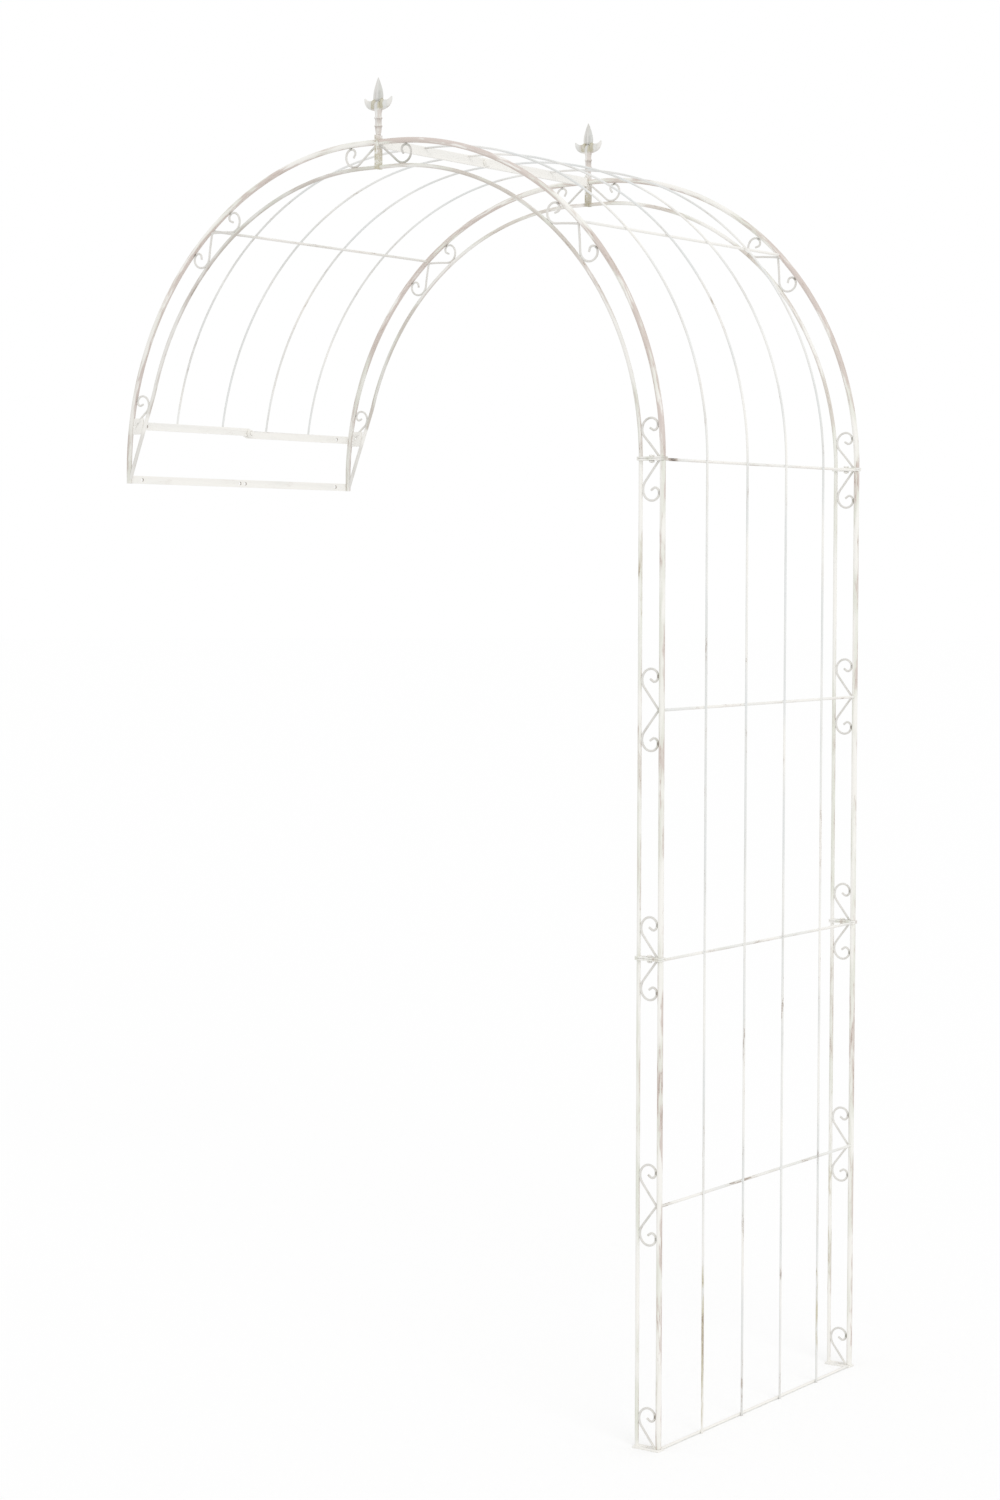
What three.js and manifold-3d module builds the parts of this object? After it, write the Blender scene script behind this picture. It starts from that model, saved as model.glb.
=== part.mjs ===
import * as THREE from 'three';
import { mergeVertices } from 'three/addons/utils/BufferGeometryUtils.js';
import Module from 'manifold-3d';

// Wall side garden arch: one braced leg and a barrel roof that ends on two wall bars.
// Millimetres. +X points from the wall to the leg, +Y from the front frame to the back frame,
// +Z up. The origin is on the ground, midway under the arch.

// Arch
const hoop_half = 600;
const depth = 668;
const bay = 421;
const bays = 4;
const joint_bay = 2;
const bend_radius = 570.5;
const rail_gap = 43.8;

// Tubes, rods and wire
const hoop_radius = 5;
const hoop_wall = 1;
const rail_radius = 3.5;
const rod_radius = 2;
const crossbar_radius = 2.5;
const wire_radius = 2;
const rods_across = 4;

// Clearance between neighbours and depth of a weld
const fit = 0.3;
const weld_bite = 0.8;

// Plates that close each welded panel, and the feet
const plate_thickness = 3;
const plate_width = 15.5;
const foot_thickness = 3.5;
const foot_width = 18;
const foot_hole_radius = 4;
const post_rise = 7.5;

// Crown bars, one on each roof panel
const crown_bar_height = 17;
const crown_bar_lift = 7.5;
const crown_bolt_y = -11;

// Roof crossbars, as angles above the springing
const leg_side_crossbar_angle = THREE.MathUtils.degToRad(45);
const wall_side_crossbar_angle = THREE.MathUtils.degToRad(50.4);

// Wall end
const wall_bar_width = 15;
const wall_bar_thickness = 3;
const low_bar_drop = 15.5;
const low_hole_inset = 39;
const low_pair_spacing = 16;
const high_bar_rise = 84.2;
const high_hole_inset = 42;
const lap_step = 4.5;
const lap_bolt_y = 8;
const wall_hole_radius = 3.5;
const rail_join_drop = 15;
const rail_join_inset = 2.5;
const rail_leave_run = 160;
const lug_low_rise = 69;
const lug_height = 30;
const lug_thickness = 3;
const lug_reach = 24;
const lug_hole_radius = 2.8;
const lug_hole_drop = 10;
const wall_scroll_rise = 83;

// Scrolls: a straight arm, then a curl that tightens steadily from the rail towards the hoop
const arm_angle = THREE.MathUtils.degToRad(51);
const curl_end_angle = THREE.MathUtils.degToRad(419);
const curl_tighten_share = 0.119;
const lead_steps = 2;
const curl_steps = 11;

// Fasteners: small ones in the panel joints, large ones in the flat bars
const joint_bolt = { radius: 2.5, across_flats: 8, head: 2.5, flange_radius: 4.4, flange: 0.6, nut: 3.2, tail: 1 };
const bar_bolt = { radius: 4, across_flats: 13, head: 5, flange_radius: 8.5, flange: 1.6, nut: 6.5, tail: 2 };

// Finial
const finial_height = 101;
const finial_foot_radius = 4.4;
const finial_neck_radius = 5.8;
const finial_neck_foot = 9;
const finial_ring_radius = 7.2;
const finial_ring_height = 4;
const finial_ring_low = 15.5;
const finial_ring_high = 29.5;
const finial_cup_radius = 8.6;
const finial_cup_low = 40;
const finial_leaf_foot = 52;
const finial_leaf_widest = 68;
const finial_leaf_width = 22.4;
const finial_leaf_thickness = 9.6;
const finial_wing_span = 61;
const finial_wing_low = 43;
const finial_wing_top = 66;
const finial_wing_thickness = 7;

// Facets
const facet_angle = THREE.MathUtils.degToRad(8.6);
const hoop_sides = 10;
const rail_sides = 8;
const rod_sides = 6;
const wire_sides = 5;
const hole_sides = 10;
const hex_sides = 6;
const finial_sides = 8;
const leaf_sides = 4;

// Sizes that follow
const springing = bays * bay;
const bend_end = springing + bend_radius * Math.PI / 2;
const bend_centre = hoop_half - bend_radius;
const crown_middle = bend_end + bend_centre;
const crown = springing + bend_radius;
const frame_y = depth / 2;
const rod_offset = crossbar_radius + rod_radius + fit;
const rod_spacing = depth / (rods_across + 1);
const joint_level = joint_bay * bay;
const joint_bolt_x = hoop_half - rail_gap / 2;
const plate_half = plate_width / 2;
const foot_half = foot_width / 2;
const wall_half = wall_bar_width / 2;
const post_face = fit / 2;
const post_far_face = post_face + plate_thickness;
const hoop_stop = crown_middle - post_far_face - fit;
const wall_end = springing - low_bar_drop - wall_half;

const wasm = await Module();
wasm.setup();

const arch = new THREE.Group();

function paint(color, roughness, metalness) {
  return new THREE.MeshStandardMaterial({ color, roughness, metalness });
}

const hoop_paint = paint(0xcfc1b0, 0.62, 0.15);
const rail_paint = paint(0xcabba9, 0.64, 0.15);
const rod_paint = paint(0xcdc8bd, 0.62, 0.12);
const crossbar_paint = paint(0xd6cdbe, 0.6, 0.12);
const flat_paint = paint(0xdcd3c4, 0.6, 0.12);
const finial_paint = paint(0xb9b0a0, 0.7, 0.15);
const fastener_paint = paint(0xa89884, 0.6, 0.35);

function add_piece(name, geometry, material) {
  const mesh = new THREE.Mesh(geometry, material);
  mesh.name = name;
  arch.add(mesh);
  return mesh;
}

// Boolean helpers: a closed geometry becomes a solid, and a solid a geometry again.
function to_solid(geometry) {
  const bare = geometry.clone();
  bare.deleteAttribute('normal');
  bare.deleteAttribute('uv');
  const merged = mergeVertices(bare);
  const mesh = new wasm.Mesh({
    numProp: 3,
    vertProperties: Float32Array.from(merged.attributes.position.array),
    triVerts: Uint32Array.from(merged.index.array),
  });
  return new wasm.Manifold(mesh);
}

function to_geometry(solid) {
  const mesh = solid.getMesh();
  const geometry = new THREE.BufferGeometry();
  geometry.setAttribute('position', new THREE.BufferAttribute(mesh.vertProperties, mesh.numProp));
  geometry.setIndex(new THREE.BufferAttribute(mesh.triVerts, 1));
  geometry.computeVertexNormals();
  return geometry;
}

function fuse(geometries) {
  return geometries.map(to_solid).reduce((whole, next) => whole.add(next));
}

// Corners of a regular outline, the first one in the direction `first`
function circle_points(radius, sides, first = 0) {
  const points = [];
  for (let i = 0; i < sides; i++) {
    const angle = first + 2 * Math.PI * i / sides;
    points.push(new THREE.Vector2(radius * Math.cos(angle), radius * Math.sin(angle)));
  }
  return points;
}

// Round section, solid or with a bore, swept along a path in the given number of steps.
function sweep(path, steps, radius, sides, bore = 0, first = 0) {
  const section = new THREE.Shape(circle_points(radius, sides, first));
  if (bore > 0) {
    section.holes.push(new THREE.Path(circle_points(bore, sides, first)));
  }
  return new THREE.ExtrudeGeometry(section, { steps, bevelEnabled: false, extrudePath: path });
}

// A place on the hoop line: s is measured from the ground, inset towards the inside of the arch.
function on_hoop(s, inset) {
  if (s < springing) {
    return [hoop_half - inset, s];
  }
  if (s < bend_end) {
    const angle = (s - springing) / bend_radius;
    const radius = bend_radius - inset;
    return [bend_centre + radius * Math.cos(angle), springing + radius * Math.sin(angle)];
  }
  return [bend_centre - (s - bend_end), crown - inset];
}

// A run along the hoop line whose sections stand at the stations; inset may vary along it.
class HoopRun extends THREE.Curve {
  constructor(stations, inset, side, y) {
    super();
    this.stations = stations;
    this.inset = typeof inset === 'function' ? inset : () => inset;
    this.side = side;
    this.y = y;
  }

  getPoint(t, target = new THREE.Vector3()) {
    const last = this.stations.length - 1;
    const index = Math.min(Math.floor(t * last), last - 1);
    const s = THREE.MathUtils.lerp(this.stations[index], this.stations[index + 1], t * last - index);
    const [x, z] = on_hoop(s, this.inset(s));
    return target.set(this.side * x, this.y, z);
  }

  getUtoTmapping(u) {
    return u;
  }
}

// Stations from one place to another: every named stop, and even steps round the bend.
function stations_between(from, to, stops = []) {
  const inside = [springing, bend_end, ...stops].filter((s) => s > from && s < to);
  const marks = [from, ...inside, to].sort((a, b) => a - b);
  const list = [from];
  for (let i = 1; i < marks.length; i++) {
    const span = marks[i] - marks[i - 1];
    const bent = marks[i] > springing && marks[i - 1] < bend_end;
    const steps = bent ? Math.ceil(span / bend_radius / facet_angle) : 1;
    for (let k = 1; k <= steps; k++) {
      list.push(marks[i - 1] + span * k / steps);
    }
  }
  return list;
}

function sweep_run(stations, inset, side, y, radius, sides, bore = 0) {
  return sweep(new HoopRun(stations, inset, side, y), stations.length - 1, radius, sides, bore);
}

// Scroll, drawn with `inset` from the hoop towards the rail and `along` away from its root.
function curl_at(angle, reach) {
  const near = hoop_radius + fit + wire_radius;
  const mean = (reach - near) / 2;
  const slope = -mean * curl_tighten_share;
  const radius = mean + slope * (angle - Math.PI);
  return [
    radius * Math.sin(angle) + slope * Math.cos(angle),
    slope * Math.sin(angle) - radius * Math.cos(angle),
  ];
}

function scroll_points(reach) {
  const root = hoop_radius + fit + wire_radius * Math.sin(arm_angle);
  const touch = curl_at(Math.PI / 2, reach);
  const place = (angle) => {
    const [inset, along] = curl_at(angle, reach);
    return [reach + inset - touch[0], along];
  };
  const [arm_inset, arm_along] = place(arm_angle);
  const rise = (arm_inset - root) * Math.tan(arm_angle) - arm_along;
  const angles = [];
  for (let k = 0; k < lead_steps; k++) {
    angles.push(THREE.MathUtils.lerp(arm_angle, Math.PI / 2, k / lead_steps));
  }
  for (let k = 0; k <= curl_steps; k++) {
    angles.push(THREE.MathUtils.lerp(Math.PI / 2, curl_end_angle, k / curl_steps));
  }
  const curl = angles.map(place).map(([inset, along]) => [inset, along + rise]);
  return [[root, 0], ...curl];
}

class ScrollRun extends THREE.Curve {
  constructor(root, turn, reach, side, y) {
    super();
    this.points = scroll_points(reach);
    this.root = root;
    this.turn = turn;
    this.reach = reach;
    this.side = side;
    this.y = y;
  }

  getPoint(t, target = new THREE.Vector3()) {
    const last = this.points.length - 1;
    const index = Math.min(Math.floor(t * last), last - 1);
    const share = t * last - index;
    const inset = THREE.MathUtils.lerp(this.points[index][0], this.points[index + 1][0], share);
    const along = THREE.MathUtils.lerp(this.points[index][1], this.points[index + 1][1], share);
    const [x, z] = on_hoop(this.root + this.turn * along, inset);
    return target.set(this.side * x, this.y, z);
  }

  getUtoTmapping(u) {
    return u;
  }
}

const full_reach = rail_gap - rail_radius - wire_radius + weld_bite;

// How far along the hoop from its root a scroll touches the rail
function touch_along(reach) {
  return scroll_points(reach)[lead_steps + 1][1];
}

// How far along the hoop from its root a scroll comes back to the hoop
function return_along(reach) {
  const near = curl_at(3 * Math.PI / 2, reach)[1] - curl_at(Math.PI / 2, reach)[1];
  return touch_along(reach) + near;
}

function scroll(root, turn, side, y, reach = full_reach) {
  const run = new ScrollRun(root, turn, reach, side, y);
  return sweep(run, run.points.length - 1, wire_radius, wire_sides);
}

function rail_stops(roots) {
  return roots.map(([root, turn, reach = full_reach]) => root + turn * touch_along(reach));
}

function hoop_stops(roots) {
  return roots.flatMap(([root, turn, reach = full_reach]) => [root, root + turn * return_along(reach)]);
}

// Flat plate as an outline with holes, extruded upwards from z = 0
function flat_plate(points, holes, thickness) {
  const outline = new THREE.Shape(points);
  for (const [x, y, radius] of holes) {
    const hole = circle_points(radius, hole_sides).map((p) => new THREE.Vector2(p.x + x, p.y + y));
    outline.holes.push(new THREE.Path(hole));
  }
  return new THREE.ExtrudeGeometry(outline, { depth: thickness, bevelEnabled: false });
}

function rectangle(low_x, high_x, low_y, high_y) {
  return [
    new THREE.Vector2(low_x, low_y),
    new THREE.Vector2(high_x, low_y),
    new THREE.Vector2(high_x, high_y),
    new THREE.Vector2(low_x, high_y),
  ];
}

// Level plate from the inner side of the rail to the outer side of the hoop
function level_plate(z, thickness, half_width, hole_radius, y) {
  const inner = hoop_half - rail_gap - rail_radius;
  const outer = hoop_half + hoop_radius;
  const holes = [[joint_bolt_x, 0, hole_radius]];
  const plate = flat_plate(rectangle(inner, outer, -half_width, half_width), holes, thickness);
  return plate.translate(0, y, z);
}

// Upright plate that ends a roof panel at the crown
function crown_post(side, y) {
  const low = crown - rail_gap - rail_radius;
  const high = crown + hoop_radius + post_rise;
  const post = new THREE.BoxGeometry(plate_thickness, plate_width, high - low);
  return post.translate(side * (post_face + post_far_face) / 2, y, (high + low) / 2);
}

// Welded rail of a panel: the inner rod, its end plates and its scrolls
function rail_body(stations, inset, side, y, plates, roots) {
  const rod = sweep_run(stations, inset, side, y, rail_radius, rail_sides);
  const curls = roots.map(([root, turn, reach]) => scroll(root, turn, side, y, reach));
  return fuse([rod, ...plates, ...curls]);
}

function lower_leg_rail(y) {
  const top = joint_level - plate_thickness;
  const plates = [
    level_plate(0, foot_thickness, foot_half, foot_hole_radius, y),
    level_plate(top, plate_thickness, plate_half, joint_bolt.radius + fit, y),
  ];
  const roots = [[foot_thickness - wire_radius, 1], [bay, 1], [bay, -1], [top + wire_radius, -1]];
  const ends = [foot_thickness / 2, top + plate_thickness / 2];
  return to_geometry(rail_body(ends, rail_gap, 1, y, plates, roots));
}

function upper_leg_rail(y) {
  const low = joint_level + fit;
  const top = springing - plate_thickness;
  const hole = joint_bolt.radius + fit;
  const plates = [
    level_plate(low, plate_thickness, plate_half, hole, y),
    level_plate(top, plate_thickness, plate_half, hole, y),
  ];
  const middle = joint_level + bay;
  const roots = [
    [low + plate_thickness - wire_radius, 1],
    [middle, 1],
    [middle, -1],
    [top + wire_radius, -1],
  ];
  const ends = [low + plate_thickness / 2, top + plate_thickness / 2];
  return to_geometry(rail_body(ends, rail_gap, 1, y, plates, roots));
}

const leg_side_crossbar = springing + leg_side_crossbar_angle * bend_radius;
const wall_side_crossbar = springing + wall_side_crossbar_angle * bend_radius;
const post_root = crown_middle - post_far_face + wire_radius;
const leg_side_roots = [
  [springing + fit + plate_thickness - wire_radius, 1],
  [leg_side_crossbar, -1],
  [leg_side_crossbar, 1],
  [post_root, -1],
];

function leg_side_roof_rail(y) {
  const low = springing + fit;
  const hole = joint_bolt.radius + fit;
  const plates = [level_plate(low, plate_thickness, plate_half, hole, y), crown_post(1, y)];
  const end = crown_middle - (post_face + post_far_face) / 2;
  const stations = stations_between(low + plate_thickness / 2, end, rail_stops(leg_side_roots));
  return to_geometry(rail_body(stations, rail_gap, 1, y, plates, leg_side_roots));
}

// At the wall the rail leaves its parallel line and closes steadily on the hoop.
function wall_rail_inset(s) {
  const share = (s - springing + rail_join_drop) / (rail_leave_run + rail_join_drop);
  return THREE.MathUtils.lerp(rail_join_inset, rail_gap, THREE.MathUtils.clamp(share, 0, 1));
}

function rise_to_run(rise, outset = 0) {
  return springing + bend_radius * Math.asin(rise / (bend_radius + outset));
}

// Lug between hoop and rail, with its hole, drawn in the plane of the frame
function wall_lug(y) {
  const low = springing + lug_low_rise;
  const high = low + lug_height;
  const edge = (z) => on_hoop(rise_to_run(z - springing), hoop_radius + fit)[0];
  const corners = [
    new THREE.Vector2(-edge(low), low),
    new THREE.Vector2(-edge(low) + lug_reach, low),
    new THREE.Vector2(-edge(high) + lug_reach, high),
    new THREE.Vector2(-edge(high), high),
  ];
  const hole_z = high - lug_hole_drop - lug_hole_radius;
  const hole_x = -edge(hole_z) + lug_reach / 3;
  const plate = flat_plate(corners, [[hole_x, hole_z, lug_hole_radius]], lug_thickness);
  plate.rotateX(Math.PI / 2);
  return plate.translate(0, y + lug_thickness / 2, 0);
}

const wall_root = rise_to_run(wall_scroll_rise);
const wall_touch_inset = wall_rail_inset(wall_root + touch_along(full_reach));
const wall_side_roots = [
  [wall_root, 1, wall_touch_inset - rail_radius - wire_radius + weld_bite],
  [wall_side_crossbar, -1],
  [wall_side_crossbar, 1],
  [post_root, -1],
];
const lug_ends = [rise_to_run(lug_low_rise), rise_to_run(lug_low_rise + lug_height)];
const wall_side_stops = [...lug_ends, ...hoop_stops(wall_side_roots)];

function wall_side_roof_rail(y) {
  const foot = springing - rail_join_drop;
  const end = crown_middle - (post_face + post_far_face) / 2;
  const leave = springing + rail_leave_run;
  const stations = stations_between(foot, end, [leave, ...rail_stops(wall_side_roots)]);
  const plates = [crown_post(-1, y), wall_lug(y)];
  const rail = rail_body(stations, wall_rail_inset, -1, y, plates, wall_side_roots);
  const cope_stations = stations_between(wall_end, leave, wall_side_stops);
  const cope = sweep_run(cope_stations, 0, -1, y, hoop_radius + fit, hoop_sides);
  return to_geometry(rail.subtract(to_solid(cope)));
}

// Crossbar between two faces that stand `half` from the middle plane
function crossbar(x, z, half) {
  const path = new THREE.LineCurve3(new THREE.Vector3(x, -half, z), new THREE.Vector3(x, half, z));
  return sweep(path, 1, crossbar_radius, rail_sides);
}

function flat_bar(x, z, low_y, high_y, holes, low_round = false, high_round = false) {
  const half = wall_half;
  const points = [];
  const round = (centre, start) => {
    for (let k = 0; k <= hex_sides; k++) {
      const angle = start + Math.PI * k / hex_sides;
      points.push(new THREE.Vector2(centre + half * Math.cos(angle), half * Math.sin(angle)));
    }
  };
  if (high_round) {
    round(high_y - half, -Math.PI / 2);
  } else {
    points.push(new THREE.Vector2(high_y, -half), new THREE.Vector2(high_y, half));
  }
  if (low_round) {
    round(low_y + half, Math.PI / 2);
  } else {
    points.push(new THREE.Vector2(low_y, half), new THREE.Vector2(low_y, -half));
  }
  const plate = flat_plate(points, holes, wall_bar_thickness);
  plate.rotateX(Math.PI / 2).rotateZ(Math.PI / 2);
  return plate.translate(x, 0, z);
}

function hex_points(across_flats) {
  return circle_points(across_flats / 2 / Math.cos(Math.PI / hex_sides), hex_sides);
}

// Bolt with its seat at z = 0, its head above and its shank through a stack of plates below
function bolt(size, stack) {
  const long = stack + size.nut + size.tail + 2 * fit;
  const head = new THREE.ExtrudeGeometry(new THREE.Shape(hex_points(size.across_flats)), {
    depth: size.head,
    bevelEnabled: false,
  });
  const flange = new THREE.CylinderGeometry(size.flange_radius, size.flange_radius, size.flange, hole_sides);
  flange.rotateX(Math.PI / 2).translate(0, 0, size.flange / 2);
  const shank = new THREE.CylinderGeometry(size.radius, size.radius, long + size.flange / 2, hole_sides);
  shank.rotateX(Math.PI / 2).translate(0, 0, size.flange / 4 - long / 2);
  return to_geometry(fuse([head, flange, shank]));
}

// Nut whose seat faces up, under a stack of plates
function nut(size, stack) {
  const outline = new THREE.Shape(hex_points(size.across_flats));
  outline.holes.push(new THREE.Path(circle_points(size.radius + fit, hole_sides)));
  const body = new THREE.ExtrudeGeometry(outline, { depth: size.nut, bevelEnabled: false });
  return body.translate(0, 0, -stack - 2 * fit - size.nut);
}

// Finial: turned stem and cup, a pointed leaf with a midrib and two leaves that roll outwards
function finial_stem() {
  const neck = finial_neck_radius;
  const ring = finial_ring_radius;
  const profile = [[0, 0], [finial_foot_radius, 0], [neck, finial_neck_foot]];
  for (const middle of [finial_ring_low, finial_ring_high]) {
    profile.push([neck, middle - finial_ring_height / 2]);
    profile.push([ring, middle - finial_ring_height / 4]);
    profile.push([ring, middle + finial_ring_height / 4]);
    profile.push([neck, middle + finial_ring_height / 2]);
  }
  const cup_high = finial_leaf_foot + finial_cup_radius;
  profile.push([neck, finial_cup_low], [finial_cup_radius, finial_leaf_foot], [neck, cup_high], [0, cup_high]);
  const points = profile.map(([r, z]) => new THREE.Vector2(r, z));
  return new THREE.LatheGeometry(points, finial_sides).rotateX(Math.PI / 2);
}

function finial_leaf() {
  const half = finial_leaf_width / 2;
  const below = finial_leaf_widest - finial_leaf_foot;
  const above = finial_height - finial_leaf_widest;
  const leaf_shares = [[0.5, -0.8], [0.86, -0.25], [1, 0], [0.92, 0.27], [0.68, 0.54], [0.32, 0.82]];
  const points = [new THREE.Vector2(0, finial_leaf_foot)];
  for (const [width_share, height_share] of leaf_shares) {
    const height = height_share < 0 ? height_share * below : height_share * above;
    points.push(new THREE.Vector2(half * width_share, finial_leaf_widest + height));
  }
  points.push(new THREE.Vector2(0, finial_height));
  const leaf = new THREE.LatheGeometry(points, leaf_sides).rotateX(Math.PI / 2);
  return leaf.scale(1, finial_leaf_thickness / finial_leaf_width, 1);
}

function finial_wing(side) {
  const reach = finial_wing_span / 2;
  const rise = finial_wing_top - finial_wing_low;
  const wing_shares = [
    [0, 0],
    [0.36, 0.04],
    [0.62, 0.09],
    [0.87, 0.37],
    [0.96, 0.65],
    [1, 1],
    [0.88, 0.87],
    [0.75, 0.75],
    [0.59, 0.74],
    [0.44, 0.83],
    [0.3, 0.83],
    [0, 0.74],
  ];
  const points = wing_shares.map(([x, z]) => new THREE.Vector2(x * reach, finial_wing_low + z * rise));
  const wing = new THREE.ExtrudeGeometry(new THREE.Shape(points), {
    depth: finial_wing_thickness,
    bevelEnabled: false,
  });
  wing.translate(0, 0, -finial_wing_thickness / 2).rotateX(Math.PI / 2);
  return side > 0 ? wing : wing.rotateZ(Math.PI);
}

function finial() {
  return to_geometry(fuse([finial_stem(), finial_leaf(), finial_wing(1), finial_wing(-1)]));
}

// The two frames
for (const [place, y] of [['front', -frame_y], ['back', frame_y]]) {
  const bore = hoop_radius - hoop_wall;
  const hoop = (from, to, side, stops) => {
    const stations = stations_between(from, to, stops);
    return sweep_run(stations, 0, side, y, hoop_radius, hoop_sides, bore);
  };
  const under_joint = joint_level - plate_thickness - fit;
  const over_joint = joint_level + plate_thickness + 2 * fit;
  const under_spring = springing - plate_thickness - fit;
  const over_spring = springing + plate_thickness + 2 * fit;
  add_piece(`${place}_lower_leg_tube`, hoop(foot_thickness + fit, under_joint, 1), hoop_paint);
  add_piece(`${place}_upper_leg_tube`, hoop(over_joint, under_spring, 1), hoop_paint);
  add_piece(`${place}_leg_side_roof_tube`, hoop(over_spring, hoop_stop, 1, hoop_stops(leg_side_roots)), hoop_paint);
  add_piece(`${place}_wall_side_roof_tube`, hoop(wall_end, hoop_stop, -1, wall_side_stops), hoop_paint);
  add_piece(`${place}_lower_leg_rail`, lower_leg_rail(y), rail_paint);
  add_piece(`${place}_upper_leg_rail`, upper_leg_rail(y), rail_paint);
  add_piece(`${place}_leg_side_roof_rail`, leg_side_roof_rail(y), rail_paint);
  add_piece(`${place}_wall_side_roof_rail`, wall_side_roof_rail(y), rail_paint);
  const top = add_piece(`${place}_finial`, finial(), finial_paint);
  top.position.set(0, y, crown + hoop_radius + post_rise + fit);
}

// Climbing rods, on the outer side of the crossbars, each with a corner of its section outwards
const high_bar_low_z = springing + high_bar_rise - lap_step / 2;
const high_bar_high_z = springing + high_bar_rise + lap_step / 2;
const rod_stop = crown_middle - post_far_face - fit;
for (let i = 0; i < rods_across; i++) {
  const y = (i + 1) * rod_spacing - frame_y;
  const bar_z = y < lap_bolt_y ? high_bar_high_z : high_bar_low_z;
  const bar_top = bar_z + wall_half + fit - springing;
  const rod = (from, to, side, stops) => {
    const stations = stations_between(from, to, stops);
    const run = new HoopRun(stations, -rod_offset, side, y);
    return sweep(run, stations.length - 1, rod_radius, rod_sides, 0, Math.PI / 2);
  };
  const wall_start = rise_to_run(bar_top, rod_offset);
  add_piece(`lower_leg_rod_${i + 1}`, rod(0, joint_level, 1), rod_paint);
  add_piece(`upper_leg_rod_${i + 1}`, rod(joint_level + fit, springing, 1), rod_paint);
  add_piece(`leg_side_roof_rod_${i + 1}`, rod(springing + fit, rod_stop, 1, [leg_side_crossbar]), rod_paint);
  add_piece(`wall_side_roof_rod_${i + 1}`, rod(wall_start, rod_stop, -1, [wall_side_crossbar]), rod_paint);
}

// Crossbars: on the leg they end on the tubes, and beside a plate on the edge of the plate
const tube_half = frame_y - hoop_radius - fit;
const plate_edge_half = frame_y - plate_half - fit;
const foot_edge_half = frame_y - foot_half - fit;
add_piece('foot_crossbar', crossbar(hoop_half, crossbar_radius, foot_edge_half), crossbar_paint);
for (let level = 1; level <= bays; level++) {
  const jointed = level % joint_bay === 0;
  const z = jointed ? level * bay - plate_thickness / 2 : level * bay;
  const half = jointed ? plate_edge_half : tube_half;
  add_piece(`leg_crossbar_${level}`, crossbar(hoop_half, z, half), crossbar_paint);
}
const [leg_side_x, leg_side_z] = on_hoop(leg_side_crossbar, 0);
const [wall_side_x, wall_side_z] = on_hoop(wall_side_crossbar, 0);
add_piece('leg_side_roof_crossbar', crossbar(leg_side_x, leg_side_z, tube_half), crossbar_paint);
add_piece('wall_side_roof_crossbar', crossbar(-wall_side_x, wall_side_z, tube_half), crossbar_paint);

// Crown bars, back to back between the crown posts
function crown_bar(side) {
  const high = crown + crown_bar_lift;
  const low = high - crown_bar_height;
  const outline = rectangle(-plate_edge_half, plate_edge_half, low, high);
  const hole = [crown_bolt_y, (high + low) / 2, bar_bolt.radius + fit];
  const bar = flat_plate(outline, [hole], plate_thickness);
  bar.rotateX(Math.PI / 2).rotateZ(Math.PI / 2);
  return bar.translate(side > 0 ? post_face : -post_far_face, 0, 0);
}
add_piece('leg_side_crown_bar', crown_bar(1), flat_paint);
add_piece('wall_side_crown_bar', crown_bar(-1), flat_paint);

// Half length of a bar whose nearer face stands off a hoop's axis, so that its corners meet the tube
function bar_half(offset) {
  return frame_y - Math.sqrt((hoop_radius + fit) ** 2 - offset ** 2);
}

// Wall bars: the low one is one piece, the high one two halves lapped at the middle bolt
const low_back = -hoop_half - hoop_radius;
const low_end_hole = frame_y - low_hole_inset;
const low_pair_hole = low_pair_spacing / 2;
const low_holes = [-low_end_hole, -low_pair_hole, low_pair_hole, low_end_hole];
const low_hole_list = low_holes.map((y) => [y, 0, wall_hole_radius]);
const low_z = springing - low_bar_drop;
const low_half = bar_half(hoop_radius - wall_bar_thickness);
add_piece('low_wall_bar', flat_bar(low_back, low_z, -low_half, low_half, low_hole_list), flat_paint);

const lap_z = springing + high_bar_rise;
const high_tube_x = on_hoop(rise_to_run(high_bar_rise), 0)[0];
const back_half_back = -high_tube_x - hoop_radius - fit;
const front_half_back = back_half_back + wall_bar_thickness + fit;
const lap_hole = (z) => [lap_bolt_y, lap_z - z, bar_bolt.radius + fit];
const high_hole = frame_y - high_hole_inset;
const front_holes = [[-high_hole, 0, wall_hole_radius], lap_hole(high_bar_high_z)];
const back_holes = [[high_hole, 0, wall_hole_radius], lap_hole(high_bar_low_z)];
const lap_high_y = lap_bolt_y + wall_half;
const lap_low_y = lap_bolt_y - wall_half;
const front_half = flat_bar(front_half_back, high_bar_high_z, -tube_half, lap_high_y, front_holes, false, true);
const back_end = bar_half(hoop_radius + fit - wall_bar_thickness);
const back_half = flat_bar(back_half_back, high_bar_low_z, lap_low_y, back_end, back_holes, true, false);
add_piece('front_high_wall_bar', front_half, flat_paint);
add_piece('back_high_wall_bar', back_half, flat_paint);

// Joint bolts through the stacked level plates, heads up
const joint_stack = 2 * plate_thickness + fit;
for (const [place, y] of [['front', -frame_y], ['back', frame_y]]) {
  for (const [level_name, z] of [['middle', joint_level], ['springing', springing]]) {
    const seat = z + fit + plate_thickness + fit;
    const screw = add_piece(`${place}_${level_name}_bolt`, bolt(joint_bolt, joint_stack), fastener_paint);
    screw.position.set(joint_bolt_x, y, seat);
    const lock = add_piece(`${place}_${level_name}_nut`, nut(joint_bolt, joint_stack), fastener_paint);
    lock.position.set(joint_bolt_x, y, seat);
  }
}

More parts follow.
